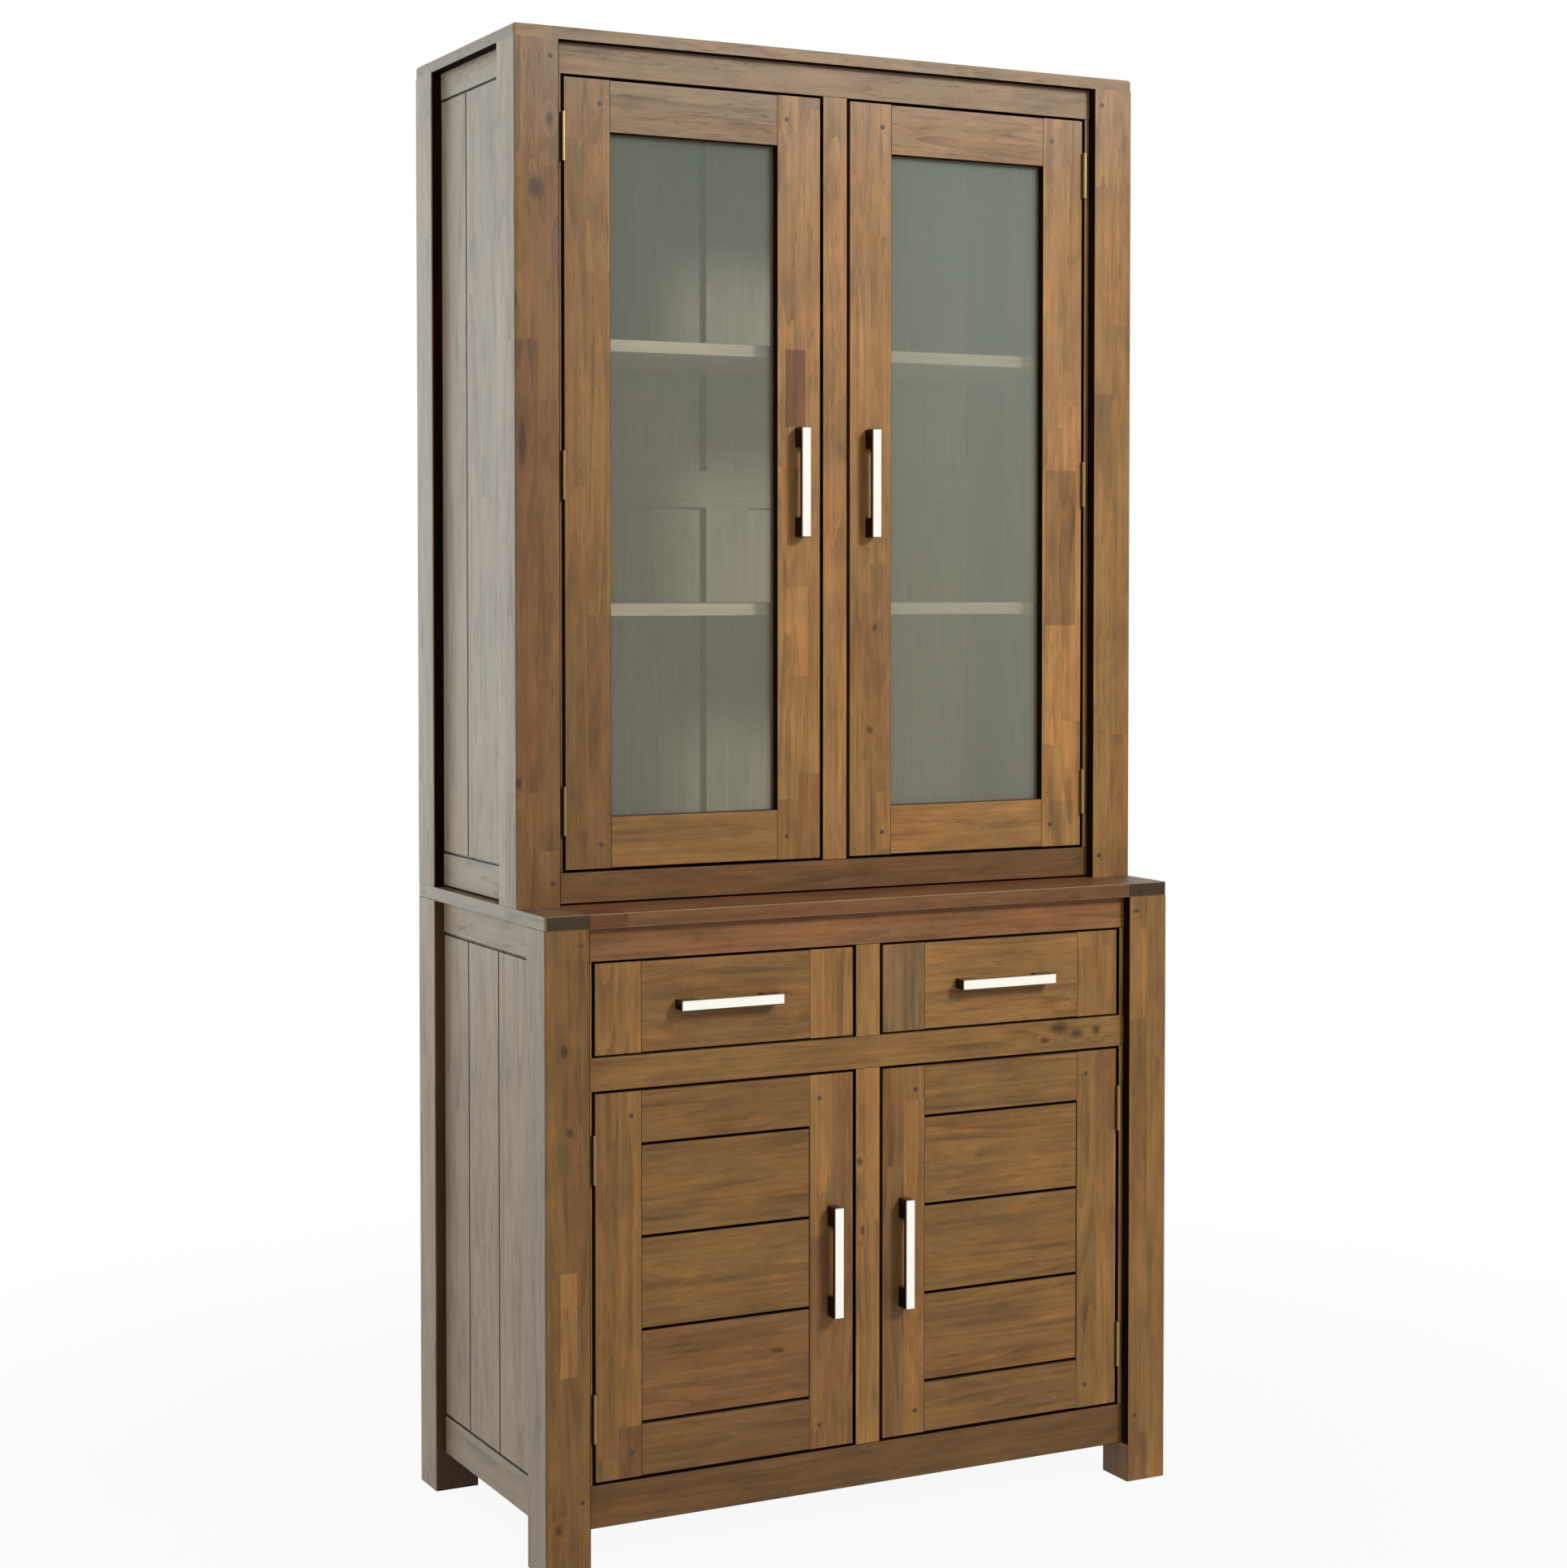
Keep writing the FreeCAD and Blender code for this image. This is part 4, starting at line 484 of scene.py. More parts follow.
def moulded_plastic(name, shade):
    """ABS, moulded in a tool with a fine spark-eroded grain."""
    # The eye sees a soft sheen that the grain breaks up. The grain is drawn 0.8 mm wide, four
    # times its real size, to show.
    material, tree = blank(name)
    grit, base = uneven(tree, (0.8, 0.8, 0.8), 2.0,
                        ((0.3, shade), (0.7, [part * 0.7 for part in shade])))
    bump = add(tree, "Bump", {"Height": grit, "Strength": 0.3, "Distance": 0.1 * MM})
    shader = add(tree, "BsdfPrincipled", {"Base Color": base, "Roughness": 0.45,
                                          "Normal": bump, "IOR": 1.5})
    add(tree, "OutputMaterial", {0: shader})
    return material


def painted_recess_shade():
    """Painted shade: a near-black matt colour for faces in rebates, grooves and gaps, where shade
    falls.
    """
    # The eye sees an almost black line with no shine, and faint streaks.
    name = "Dark rebate stain"
    if name in bpy.data.materials:
        return bpy.data.materials[name]
    material, tree = blank(name)
    _, base = uneven(tree, (4, 4, 60), 4.0,
                     ((0.3, linear("0D0704")), (0.75, linear("24140A"))))
    shader = add(tree, "BsdfPrincipled", {"Base Color": base, "Roughness": 0.95,
                                          "Specular IOR Level": 0.05})
    add(tree, "OutputMaterial", {0: shader})
    return material


def peg_end_grain():
    """End grain of a dark hardwood peg, glued in, cut off and sanded nearly flush."""
    # The eye sees a small dark disc with fine rings, a little darker at its rim.
    material, tree = blank("Peg end grain")
    spot = add(tree, "Attribute", out="Vector", attribute_name="spot")
    wide = add(tree, "VectorMath", {0: spot}, out="Value", operation="LENGTH")
    # The rings are 1.3 mm apart, wider than real ones, to show.
    rings = add(tree, "TexNoise", {"Vector": spot, "Scale": 1.4, "Detail": 2.0})
    rings = add(tree, "Math", {0: rings, 1: 1.5, 2: wide}, operation="MULTIPLY_ADD")
    rings = add(tree, "Math", {0: rings, 1: 1.3}, operation="PINGPONG")
    shade = tuple(bpy.context.scene.dresser_fittings.peg)
    base = add(tree, "ValToRGB", {"Fac": rings}, stops=(
        (0.0, [part * 0.6 for part in shade]), (1.0, [part * 1.3 for part in shade])))
    shader = add(tree, "BsdfPrincipled", {"Base Color": base, "Roughness": 0.5, "IOR": 1.5,
                                          "Specular IOR Level": 0.4})
    add(tree, "OutputMaterial", {0: shader})
    return material


def screw_head(name, shade):
    """Plated steel screw head with a cross recess."""
    # The eye sees a small bright button with a dark cross in it: the cross's darkness is painted
    # shade in its recess.
    material, tree = blank(name)
    spot = add(tree, "Attribute", out="Vector", attribute_name="spot")
    spot = add(tree, "VectorMath", {0: spot}, operation="ABSOLUTE")
    spot = add(tree, "SeparateXYZ", {0: spot}).node.outputs
    # The cross is 3.6 mm long, and its arms are 0.9 mm wide.
    narrow = add(tree, "Math", {0: spot[0], 1: spot[1]}, operation="MINIMUM")
    narrow = add(tree, "Math", {0: narrow, 1: 0.45}, operation="LESS_THAN")
    long = add(tree, "Math", {0: spot[0], 1: spot[1]}, operation="MAXIMUM")
    long = add(tree, "Math", {0: long, 1: 1.8}, operation="LESS_THAN")
    cross = add(tree, "Math", {0: narrow, 1: long}, operation="MULTIPLY")
    base = add(tree, "ValToRGB", {"Fac": cross}, stops=((0.0, shade), (1.0, linear("14110E"))))
    bump = add(tree, "Bump", {"Height": cross, "Strength": 1.0, "Distance": 0.5 * MM},
               invert=True)
    shader = add(tree, "BsdfPrincipled", {"Base Color": base, "Metallic": 1.0,
                                          "Roughness": 0.32, "Normal": bump})
    add(tree, "OutputMaterial", {0: shader})
    return material


# Staves across, staves through and stave length in millimetres, by words in a node's name.
LAYOUTS = (
    ("post", (2, 2, 560)),
    ("glazed_door_stiles", (2, 1, 430)),
    ("base_door_stiles", (2, 1, 520)),
    ("top_board", (9, 1, 640)),
    ("top_ends", (1, 1, 900)),
    ("shelves", (8, 1, 500)),
    ("shelf", (8, 1, 500)),
    ("floor", (9, 1, 500)),
    ("back_boards", (3, 1, 4000)),
    ("", (1, 1, 6000)),
)
# Ramp place, spread among staves and lightness, by node: one for all its boards, or one for each
# board from the lowest up and from left to right.
TONES = {
    "hutch_post_front_left": ((0.36, 0.2, 1.17),),
    "hutch_post_front_right": ((0.62, 0.25, 1.20),),
    # The top board and the top front rail are paler and greyer: a painted sheen.
    "hutch_top_board": ((0.92, 0.20, 1.25),),
    "hutch_front_rails": ((0.35, 0.1, 0.95), (0.95, 0.1, 1.18)),
    "hutch_front_stiles": ((0.5, 0.1, 1.0), (0.75, 0.1, 1.25), (0.7, 0.1, 1.15)),
    "glazed_door_stiles_left": ((0.48, 0.3, 1.19), (0.58, 0.5, 1.32)),
    "glazed_door_stiles_right": ((0.64, 0.35, 1.25), (0.74, 0.4, 1.40)),
    "glazed_door_rails_left": ((0.52, 0.1, 1.26), (0.92, 0.1, 1.12)),
    "glazed_door_rails_right": ((0.70, 0.1, 1.28), (0.88, 0.1, 1.15)),
    "hutch_back_boards": ((0.5, 0.1, 1.08), (0.5, 0.1, 1.12), (0.5, 0.1, 1.08), (0.5, 0.1, 1.2)),
    "hutch_shelves": ((0.5, 0.3, 1.3),),
    "base_top_board": ((0.10, 0.3, 1.05),),
    "base_top_ends": ((1.0, 0.0, 0.75),),
    "base_front_rails": ((0.35, 0.1, 0.85), (0.5, 0.1, 1.18), (0.20, 0.1, 1.54)),
    "base_front_stiles": ((0.6, 0.1, 1.45),),
    "base_post_front_left": ((0.26, 0.50, 1.0),),
    "base_post_front_right": ((0.52, 0.45, 1.24),),
    "drawer_front_left": ((0.68, 0.1, 1.17), (0.50, 0.1, 1.25), (0.70, 0.1, 1.20)),
    "drawer_front_right": ((0.92, 0.1, 1.1), (0.54, 0.1, 1.30), (0.62, 0.1, 1.22)),
    "base_door_stiles_left": ((0.38, 0.4, 1.22), (0.52, 0.4, 1.38)),
    "base_door_stiles_right": ((0.50, 0.4, 1.2), (0.46, 0.4, 1.26)),
    "base_door_rails_left": ((0.45, 0.1, 1.0), (0.48, 0.1, 1.08)),
    "base_door_rails_right": ((0.45, 0.1, 1.1), (0.48, 0.1, 1.08)),
    "base_door_slats_left": ((0.42, 0.1, 1.16), (0.56, 0.1, 1.1), (0.48, 0.1, 1.05)),
    "base_door_slats_right": ((0.80, 0.1, 0.88), (0.52, 0.1, 1.14), (0.56, 0.1, 1.16)),
}
# For all other boards, ramp place and lightness are drawn between these, and the spread is wider
# among staves than in a board of one piece.
RAMP_RANGE = (0.3, 0.72)
LIGHTNESS_RANGE = (0.92, 1.08)
STAVE_SPREAD, BOARD_SPREAD = 0.55, 0.1
# Words in the names of nodes whose joints get darker stain and painted shade, and of those whose
# shadow joints are painted near-black as painted shade.
JOINT_SHADE = ("rails", "stiles", "slats", "planks", "drawer_front", "frame")
PAINTED_SHADOW_JOINTS = ("slats", "planks")
# End grain that is darker than the rest.
END_GRAIN = {"base_top_ends": 0.80}
# How dark a face is made, from 0 to 1, by where the face is. Bevels are a little darker, end grain
# takes more stain, and bevels at joints are darker from stain and painted shade. Shoulders, shadow
# joints, ledges, doors' rims, sides at joints and the rear posts' fronts are darkened as painted
# shade, where shade falls in gaps.
STAIN_AND_SHADE_IN = {
    "bevel": 0.25, "bevel at a joint": 0.85, "shoulder": 0.7, "shadow joint": 0.95,
    "rear post": 0.82, "end grain": 0.35, "end grain at a joint": 0.75, "ledge": 0.35,
    "side at a joint": 0.85, "door's rim": 0.55,
}
# Bevels that are painted paler, a painted highlight along the arris, are below zero.
EDGE_HIGHLIGHTS = {"base_top_board": -0.7, "base_top_ends": -0.35, "hutch_top_board": -0.3}
# Below the lowest rail the posts are feet, without rebates.
FOOT_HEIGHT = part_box("base_front_rails")[0].z
# The rail over the doors is the ledge that the drawers' fronts stand clear of.
DOOR_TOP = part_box("base_door_stiles_left")[1].z
# Faces nearer than this to a plane lie in it, and one whose normal has less than this along its
# main axis is a bevel. Corners nearer than this are one corner.
FLUSH = 0.05 * MM
SQUARE = 0.98
WELD = 0.002 * MM
# The bend in degrees from which an edge is sharp, on boards and on buttons.
BOARD_BEND, BUTTON_BEND = 50, 60
# Pegs: their heights on the posts in millimetres, and how far they are from a post's inner edge
# and from a door's sides and ends.
PEG_HEIGHTS = {"hutch": (840, 1863), "base": (89, 773)}
POST_PEG_INSET = 11.5 * MM
PEG_INSET = 49 * MM
PEG_DROP = 30 * MM
# How many sides a peg or a screw's head has, and how far it stands out of what holds it.
BUTTON_SIDES = 20
PEG_RISE = HINGE_SCREW_RISE = 0.15 * MM
HANDLE_SCREW_RISE = 2.2 * MM
# Hinges: the heights of their middles in millimetres, the thickness of a leaf, the gap between
# the leaves, and where the screws are from the middle and from the stile's front.
HINGE_HEIGHTS = {"glazed_door_": (928.5, 1347.75, 1767), "base_door_": (187, 507)}
LEAF = 1.5 * MM
LEAF_GAP = 0.5 * MM
HINGE_SCREW_STEPS = (-20, 0, 20)
HINGE_SCREW_INSET = 9.5 * MM
# From a handle's end to its screw.
HANDLE_SCREW_INSET = 13 * MM
# Rebates painted near-black as painted shade: the outward directions of a node's faces that lie in
# them.
SHADED_RECESSES = {
    "hutch_post_front_left": ("+x", "+y"), "hutch_post_front_right": ("-x", "+y"),
    "hutch_post_rear_left": ("-y",), "hutch_post_rear_right": ("-y",),
    "base_post_front_left": ("+x", "+y"), "base_post_front_right": ("-x", "+y"),
    "hutch_top_board": ("-z",),
    "glazed_door_stiles_left": ("+x", "-x"), "glazed_door_stiles_right": ("+x", "-x"),
    "glazed_door_rails_left": ("-z",), "glazed_door_rails_right": ("-z",),
    "hutch_back_frame": ("-x",),
}


def solids_of(mesh):
    """The closed solids of a mesh: lists of triangles as welded corners, and the corners."""
    points = np.empty(len(mesh.vertices) * 3, np.float32)
    mesh.vertices.foreach_get("co", points)
    points = points.reshape(-1, 3).astype(float)
    keys, welded = np.unique(np.round(points / WELD).astype(np.int64), axis=0,
                             return_inverse=True)
    corners = np.zeros((len(keys), 3))
    corners[welded.ravel()] = points
    faces = [tuple(int(welded.ravel()[v]) for v in p.vertices) for p in mesh.polygons]
    owners = {}
    for index, face in enumerate(faces):
        a, b, c = (corners[v] for v in face[:3])
        normal = np.cross(b - a, c - a)
        for k, (a, b) in enumerate(zip(face, face[1:] + face[:1])):
            third = corners[face[(k + 2) % 3]] - corners[a]
            owners.setdefault((min(a, b), max(a, b)), []).append((index, third, normal, a < b))
    group = list(range(len(faces)))

    def root(index):
        while group[index] != index:
            group[index] = group[group[index]]
            index = group[index]
        return index

    for (a, b), sharers in owners.items():
        # Where solids touch, four faces meet at an edge: a face's partner runs the other way
        # along it, and is the first one across the wood.
        edge = (corners[b] - corners[a]) / max(np.linalg.norm(corners[b] - corners[a]), 1e-12)
        for index, third, normal, way in sharers:
            flat = third - edge * third.dot(edge)
            turns = [(math.tau, index)]
            for other, far, _, other_way in sharers:
                turn = math.atan2(-far.dot(normal) * np.linalg.norm(flat),
                                  (far - edge * far.dot(edge)).dot(flat) * np.linalg.norm(normal))
                if way != other_way and turn % math.tau > 1e-3:
                    turns.append((turn % math.tau, other))
            group[root(index)] = root(min(turns)[1])
    solids = {}
    for index, face in enumerate(faces):
        solids.setdefault(root(index), []).append(face)

    def rank(solid):
        used = corners[sorted({v for face in solid for v in face})]
        middle = (used.min(0) + used.max(0)) / 2
        return (round(middle[2], 3), round(middle[0], 3), round(middle[1], 3))

    return corners, sorted(solids.values(), key=rank)


def board_faces(node, solid, corners, low, high, along, across, through):
    """How dark each face of a board is made, by staining and by painted shade, and whether the face
    takes the painted recess shade.
    """
    shaded = any(word in node for word in JOINT_SHADE)
    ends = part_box(node)
    for face in solid:
        a, b, c = (corners[v] for v in face[:3])
        normal = np.cross(b - a, c - a)
        normal = normal / max(np.linalg.norm(normal), 1e-12)
        axis = int(np.argmax(np.abs(normal)))
        level = corners[list(face)][:, axis].mean()
        outer = min(abs(level - low[axis]), abs(level - high[axis])) < FLUSH
        way = ("+" if normal[axis] > 0 else "-") + "xyz"[axis]
        rim = min(abs(level - ends[0][axis]), abs(level - ends[1][axis])) < FLUSH
        in_painted_shade = way in SHADED_RECESSES.get(node, ()) and not ("door" in node and rim)
        # The front frame's faces round its openings take the painted recess shade too.
        opening = "_front_rails" in node or "_front_stiles" in node
        in_painted_shade = in_painted_shade or (opening and axis == across and not rim)
        if node == "base_front_rails" and way == "+z" and level > DOOR_TOP and not rim:
            stain_and_shade, in_painted_shade = STAIN_AND_SHADE_IN["ledge"], False
        elif abs(normal[axis]) < SQUARE:
            stain_and_shade = EDGE_HIGHLIGHTS.get(node, STAIN_AND_SHADE_IN["bevel at a joint" if shaded else "bevel"])
        elif axis == through and not outer:
            stain_and_shade, in_painted_shade = STAIN_AND_SHADE_IN["shoulder"], "planks" not in node
        elif (axis == along and any(word in node for word in PAINTED_SHADOW_JOINTS)) or (
                axis == across and "slats" in node):
            stain_and_shade, in_painted_shade = STAIN_AND_SHADE_IN["shadow joint"], True
        elif "post_rear" in node and way == "-y":
            stain_and_shade = STAIN_AND_SHADE_IN["rear post"]
        elif axis == along:
            stain_and_shade = END_GRAIN.get(
                node, STAIN_AND_SHADE_IN["end grain at a joint" if shaded else "end grain"])
        elif shaded and axis == across and not in_painted_shade:
            stain_and_shade = STAIN_AND_SHADE_IN["door's rim" if "door" in node and rim else "side at a joint"]
        else:
            stain_and_shade = 0.0
        yield stain_and_shade, in_painted_shade


def stand(mesh, bend):
    """Stands a mesh as a piece of its own name, with sharp edges from a bend in degrees on."""
    mesh.polygons.foreach_set("use_smooth", [True] * len(mesh.polygons))
    mesh.set_sharp_from_angle(angle=math.radians(bend))
    piece = bpy.data.objects.new(mesh.name, mesh)
    bpy.context.collection.objects.link(piece)
    return piece


def lay_boards(node):
    """Lays out a node's own solids as boards: corners, faces and the values that they carry."""
    corners, solids = solids_of(NODES[node].data)
    across_count, through_count, stave = next(v for k, v in LAYOUTS if k in node)
    dice = random.Random(node)
    tones = TONES.get(node)
    values = {name: [] for name in ("grain", "lay", "tone", "joint", "recess")}
    verts, faces = [], []
    for number, solid in enumerate(solids):
        used = sorted({v for face in solid for v in face})
        points = corners[used]
        low, high = points.min(0), points.max(0)
        size = high - low
        along = int(np.argmax(size))
        across, through = sorted((k for k in range(3) if k != along), key=lambda k: -size[k])
        if "_front_stiles" in node:
            across, through = 0, 1
        if tones:
            place = tones[min(number, len(tones) - 1)]
        else:
            place = (dice.uniform(*RAMP_RANGE),
                     STAVE_SPREAD if across_count > 1 else BOARD_SPREAD,
                     dice.uniform(*LIGHTNESS_RANGE))
        # Staves are numbered on from a start of the board's own, and its edges stay clear of the
        # whole numbers where the next stave would begin.
        shares = 0.002 + 0.996 * (points - low) / size
        seed = 20 * (number + 1) + 400 * (sum(map(ord, node)) % 97)
        for point, part in zip(points, shares):
            local = (point - low) / MM
            values["grain"].append((local[along], local[across], local[through]))
            values["lay"].append((seed + part[across] * across_count,
                                  part[through] * through_count, local[along] / stave))
            values["tone"].append(place)
        position = {v: len(verts) + k for k, v in enumerate(used)}
        verts.extend(map(tuple, points))
        faces.extend(tuple(position[v] for v in face) for face in solid)
        for stain_and_shade, in_painted_shade in board_faces(node, solid, corners, low, high, along, across,
                                          through):
            values["joint"].append(stain_and_shade)
            values["recess"].append(in_painted_shade)
    return verts, faces, values


def boards(node, material):
    """Stands boards for a node: its own solids, with the grain laid along each of them."""
    verts, faces, values = lay_boards(node)
    mesh = bpy.data.meshes.new(node + "_boards")
    mesh.from_pydata(verts, [], faces)
    for name in ("grain", "lay", "tone"):
        layer = mesh.attributes.new(name, "FLOAT_VECTOR", "POINT")
        layer.data.foreach_set("vector", np.array(values[name], np.float32).ravel())
    layer = mesh.attributes.new("joint", "FLOAT", "FACE")
    layer.data.foreach_set("value", np.array(values["joint"], np.float32))
    mesh.materials.append(material)
    # Faces in rebates take the painted recess shade.
    if any(values["recess"]):
        mesh.materials.append(painted_recess_shade())
        mesh.polygons.foreach_set("material_index", [int(r) for r in values["recess"]])
    if "_post_" in node:
        clear_inside(mesh, node.split("_")[0])
    piece = stand(mesh, BOARD_BEND)
    weighted = piece.modifiers.new("Flat faces", "WEIGHTED_NORMAL")
    weighted.keep_sharp = True
    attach(piece, BODY_OF[node])
    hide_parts(node)


def clear_inside(mesh, case):
    """Cuts a post's faces where the side, the front frame and the lowest rails meet it, and keeps
    the painted recess shade to what shows outside them."""
    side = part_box(case + "_side_planks")[1].x
    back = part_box(case + "_front_stiles")[1].y
    foot = FOOT_HEIGHT if case == "base" else 0.0
    work = bmesh.new()
    work.from_mesh(mesh)
    for place, way in (((side, 0, 0), (1, 0, 0)), ((-side, 0, 0), (1, 0, 0)),
                       ((0, back, 0), (0, 1, 0)), ((0, 0, foot), (0, 0, 1))):
        bmesh.ops.bisect_plane(work, geom=[*work.verts, *work.edges, *work.faces],
                               plane_co=place, plane_no=way)
    for face in work.faces:
        middle = face.calc_center_median()
        if middle.z < foot or (abs(middle.x) < side and middle.y > back):
            face.material_index = 0
    work.to_mesh(mesh)
    work.free()


# Timbers by slot, and how strong their grain is. Only this table calls the hutch's inside a slot.
TIMBERS = {
    "hutch_wood": ("Stained acacia of the hutch", 1.0),
    "base_wood": ("Stained acacia of the base", 1.0),
    "runner_wood": ("Planed hardwood", 0.5),
    "thin_board": ("Limed thin board", 0.4),
    "inside": ("Limed acacia of the inside", 0.4),
}
# Lightness of the staves of raw and of limed wood, along the ramp.
RAW_STAVES = (0.8, 0.9, 1.0, 1.08, 0.95)
LIMED_STAVES = (0.85, 0.93, 1.0, 1.06, 0.97)


def timber_for(slot):
    """The stained timber of a slot, made once."""
    name, depth = TIMBERS[slot]
    if name in bpy.data.materials:
        return bpy.data.materials[name]
    timber = bpy.context.scene.dresser_timber
    stains = [tuple(c) for c in (timber.red, timber.brown, timber.middle, timber.gold,
                                 timber.grey)]
    if slot == "runner_wood":
        stains = [tuple(c * k for c in timber.raw) for k in RAW_STAVES]
    elif slot in ("inside", "thin_board"):
        stains = [tuple(c * k for c in timber.limed) for k in LIMED_STAVES]
    # The hutch's wood takes the painted top sheen, and both outer timbers take the painted side
    # sheen.
    top_sheen = {"hutch_wood": timber.top_sheen, "base_wood": 0.0}.get(slot)
    return stained_timber(name, stains, depth, top_sheen)


def board_up(nodes):
    """Stands the boards of nodes, each in the timber of its slot."""
    for node in nodes:
        boards(node, timber_for(SLOT_OF[node]))


def finish_node(node, material):
    """Keeps a node's own solid and gives it its material."""
    item = NODES[node]
    item.data.materials.clear()
    item.data.materials.append(material)


class DRESSER_OT_hutch(bpy.types.Operator):
    """Stands the hutch's posts, rails, planks, top, back, floor and shelves"""
    bl_idname = "dresser.hutch"
    bl_label = "Hutch case"

    def execute(self, context):
        for node in NODES:
            if node.startswith("hutch_") and "dowels" not in node:
                inside = any(word in node for word in ("shelves", "floor", "back_frame"))
                boards(node, timber_for("inside" if inside else SLOT_OF[node]))
        return {"FINISHED"}


class DRESSER_OT_base(bpy.types.Operator):
    """Stands the base's posts, rails, planks, top, back, floor and shelf"""
    bl_idname = "dresser.base"
    bl_label = "Base case"

    def execute(self, context):
        board_up(node for node in NODES if node.startswith("base_") and "door" not in node)
        board_up(("drawer_runners", "hutch_dowels"))
        return {"FINISHED"}


class DRESSER_OT_glazed_doors(bpy.types.Operator):
    """Makes the glazed doors' stiles, rails, beads and panes"""
    bl_idname = "dresser.glazed_doors"
    bl_label = "Glazed doors"

    def execute(self, context):
        glass = context.scene.dresser_glass
        for side, bloom in zip(SIDES, (glass.bloom_left, glass.bloom_right)):
            pane = float_glass(f"Float glass with bloom, {side}", tuple(glass.tint), bloom)
            board_up(f"glazed_door_{part}_{side}" for part in ("stiles", "rails", "beads"))
            finish_node(f"glazed_door_glass_{side}", pane)
        return {"FINISHED"}


class DRESSER_OT_slatted_doors(bpy.types.Operator):
    """Makes the base doors' stiles, rails and slats"""
    bl_idname = "dresser.slatted_doors"
    bl_label = "Slatted doors"

    def execute(self, context):
        for side in SIDES:
            board_up(f"base_door_{part}_{side}" for part in ("stiles", "rails", "slats"))
        return {"FINISHED"}


class DRESSER_OT_drawers(bpy.types.Operator):
    """Makes the drawers' fronts and boxes"""
    bl_idname = "dresser.drawers"
    bl_label = "Drawers"

    def execute(self, context):
        for side in SIDES:
            board_up((f"drawer_front_{side}", f"drawer_box_{side}"))
        return {"FINISHED"}


class DRESSER_OT_fittings(bpy.types.Operator):
    """Finishes the handles, hinges, strikes, pins and catches"""
    bl_idname = "dresser.fittings"
    bl_label = "Handles and hinges"

    def execute(self, context):
        look = context.scene.dresser_fittings
        finishes = {
            "handle_metal": plated_metal("Polished nickel plate", tuple(look.bar), 0.08,
                                         tuple(look.bar_side_shade)),
            "hinge_brass": plated_metal("Brass plate", tuple(look.brass), 0.28),
            "pin_metal": plated_metal("Zinc plate", tuple(look.steel), 0.30),
            "catch_plastic": moulded_plastic("Moulded ABS", tuple(look.plastic)),
        }
        for node, slot in SLOT_OF.items():
            if slot in finishes:
                finish_node(node, finishes[slot])
        return {"FINISHED"}


def buttons(name, body, material, spots, diameter, rise):
    """One piece with a low domed button at each spot: its middle and the way that it faces."""
    work = bmesh.new()
    layer = work.verts.layers.float_vector.new("spot")
    # Shares of the radius, and heights, from the foot, sunk by 0.4 mm, up to the dome.
    profile = ((1.0, -0.4 * MM), (1.0, 0.0), (0.9, 0.6 * rise), (0.55, 0.95 * rise))
    for number, (centre, way) in enumerate(spots):
        way = Vector(way)
        over = way.orthogonal()
        under = way.cross(over)
        middle = work.verts.new(Vector(centre) + way * rise)
        middle[layer] = (0, 0, number)
        loops = []
        for wide, high in profile:
            loop = []
            for k in range(BUTTON_SIDES):
                angle = 2 * math.pi * k / BUTTON_SIDES
                flat = Vector((math.cos(angle), math.sin(angle))) * (wide * diameter / 2)
                vert = work.verts.new(Vector(centre) + over * flat.x + under * flat.y + way * high)
                vert[layer] = (flat.x / MM, flat.y / MM, number)
                loop.append(vert)
            loops.append(loop)
        for k in range(BUTTON_SIDES):
            after = (k + 1) % BUTTON_SIDES
            for low, high in zip(loops, loops[1:]):
                work.faces.new((low[k], low[after], high[after], high[k]))
            work.faces.new((loops[-1][k], loops[-1][after], middle))
        work.faces.new(list(reversed(loops[0])))
    bmesh.ops.recalc_face_normals(work, faces=work.faces)
    mesh = bpy.data.meshes.new(name)
    work.to_mesh(mesh)
    work.free()
    mesh.materials.append(material)
    piece = stand(mesh, BUTTON_BEND)
    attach(piece, body)


def handle_screws(handle, holder, long, material, diameter):
    """The two screws of a handle that is long in one axis, inside the wood that holds it."""
    low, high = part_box(handle)
    spots = []
    for end in (low[long] + HANDLE_SCREW_INSET, high[long] - HANDLE_SCREW_INSET):
        spot = [(a + b) / 2 for a, b in zip(low, high)]
        spot[1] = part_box(holder)[1].y
        spot[long] = end
        spots.append((spot, (0, 1, 0)))
    buttons(handle.replace("handle_", "handle_screws_"), BODY_OF[holder], material,
            spots, diameter, HANDLE_SCREW_RISE)


class DRESSER_OT_pegs(bpy.types.Operator):
    """Adds the pegs that pin the posts' and doors' joints"""
    bl_idname = "dresser.pegs"
    bl_label = "Pegs"

    def execute(self, context):
        look = context.scene.dresser_fittings
        grain = peg_end_grain()
        case = []
        for side, sign in zip(SIDES, (-1, 1)):
            for post, ends in (("hutch_post_front_", PEG_HEIGHTS["hutch"]),
                               ("base_post_front_", PEG_HEIGHTS["base"])):
                low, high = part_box(post + side)
                inner = high.x if side == "left" else low.x
                case += [((inner + sign * POST_PEG_INSET, low.y, z * MM), (0, -1, 0))
                         for z in ends]
            for door, slot in (("glazed_door_", "hutch_wood"), ("base_door_", "base_wood")):
                low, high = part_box(door + "stiles_" + side)
                spots = [((x, low.y, z), (0, -1, 0))
                         for x in (low.x + PEG_INSET, high.x - PEG_INSET)
                         for z in (low.z + PEG_DROP, high.z - PEG_DROP)]
                buttons(f"{door}pegs_{side}", BODY_OF[door + "stiles_" + side], grain,
                        spots, look.peg_diameter, PEG_RISE)
        buttons("cabinet_pegs", BODY_OF["base_post_front_left"], grain, case,
                look.peg_diameter, PEG_RISE)
        return {"FINISHED"}


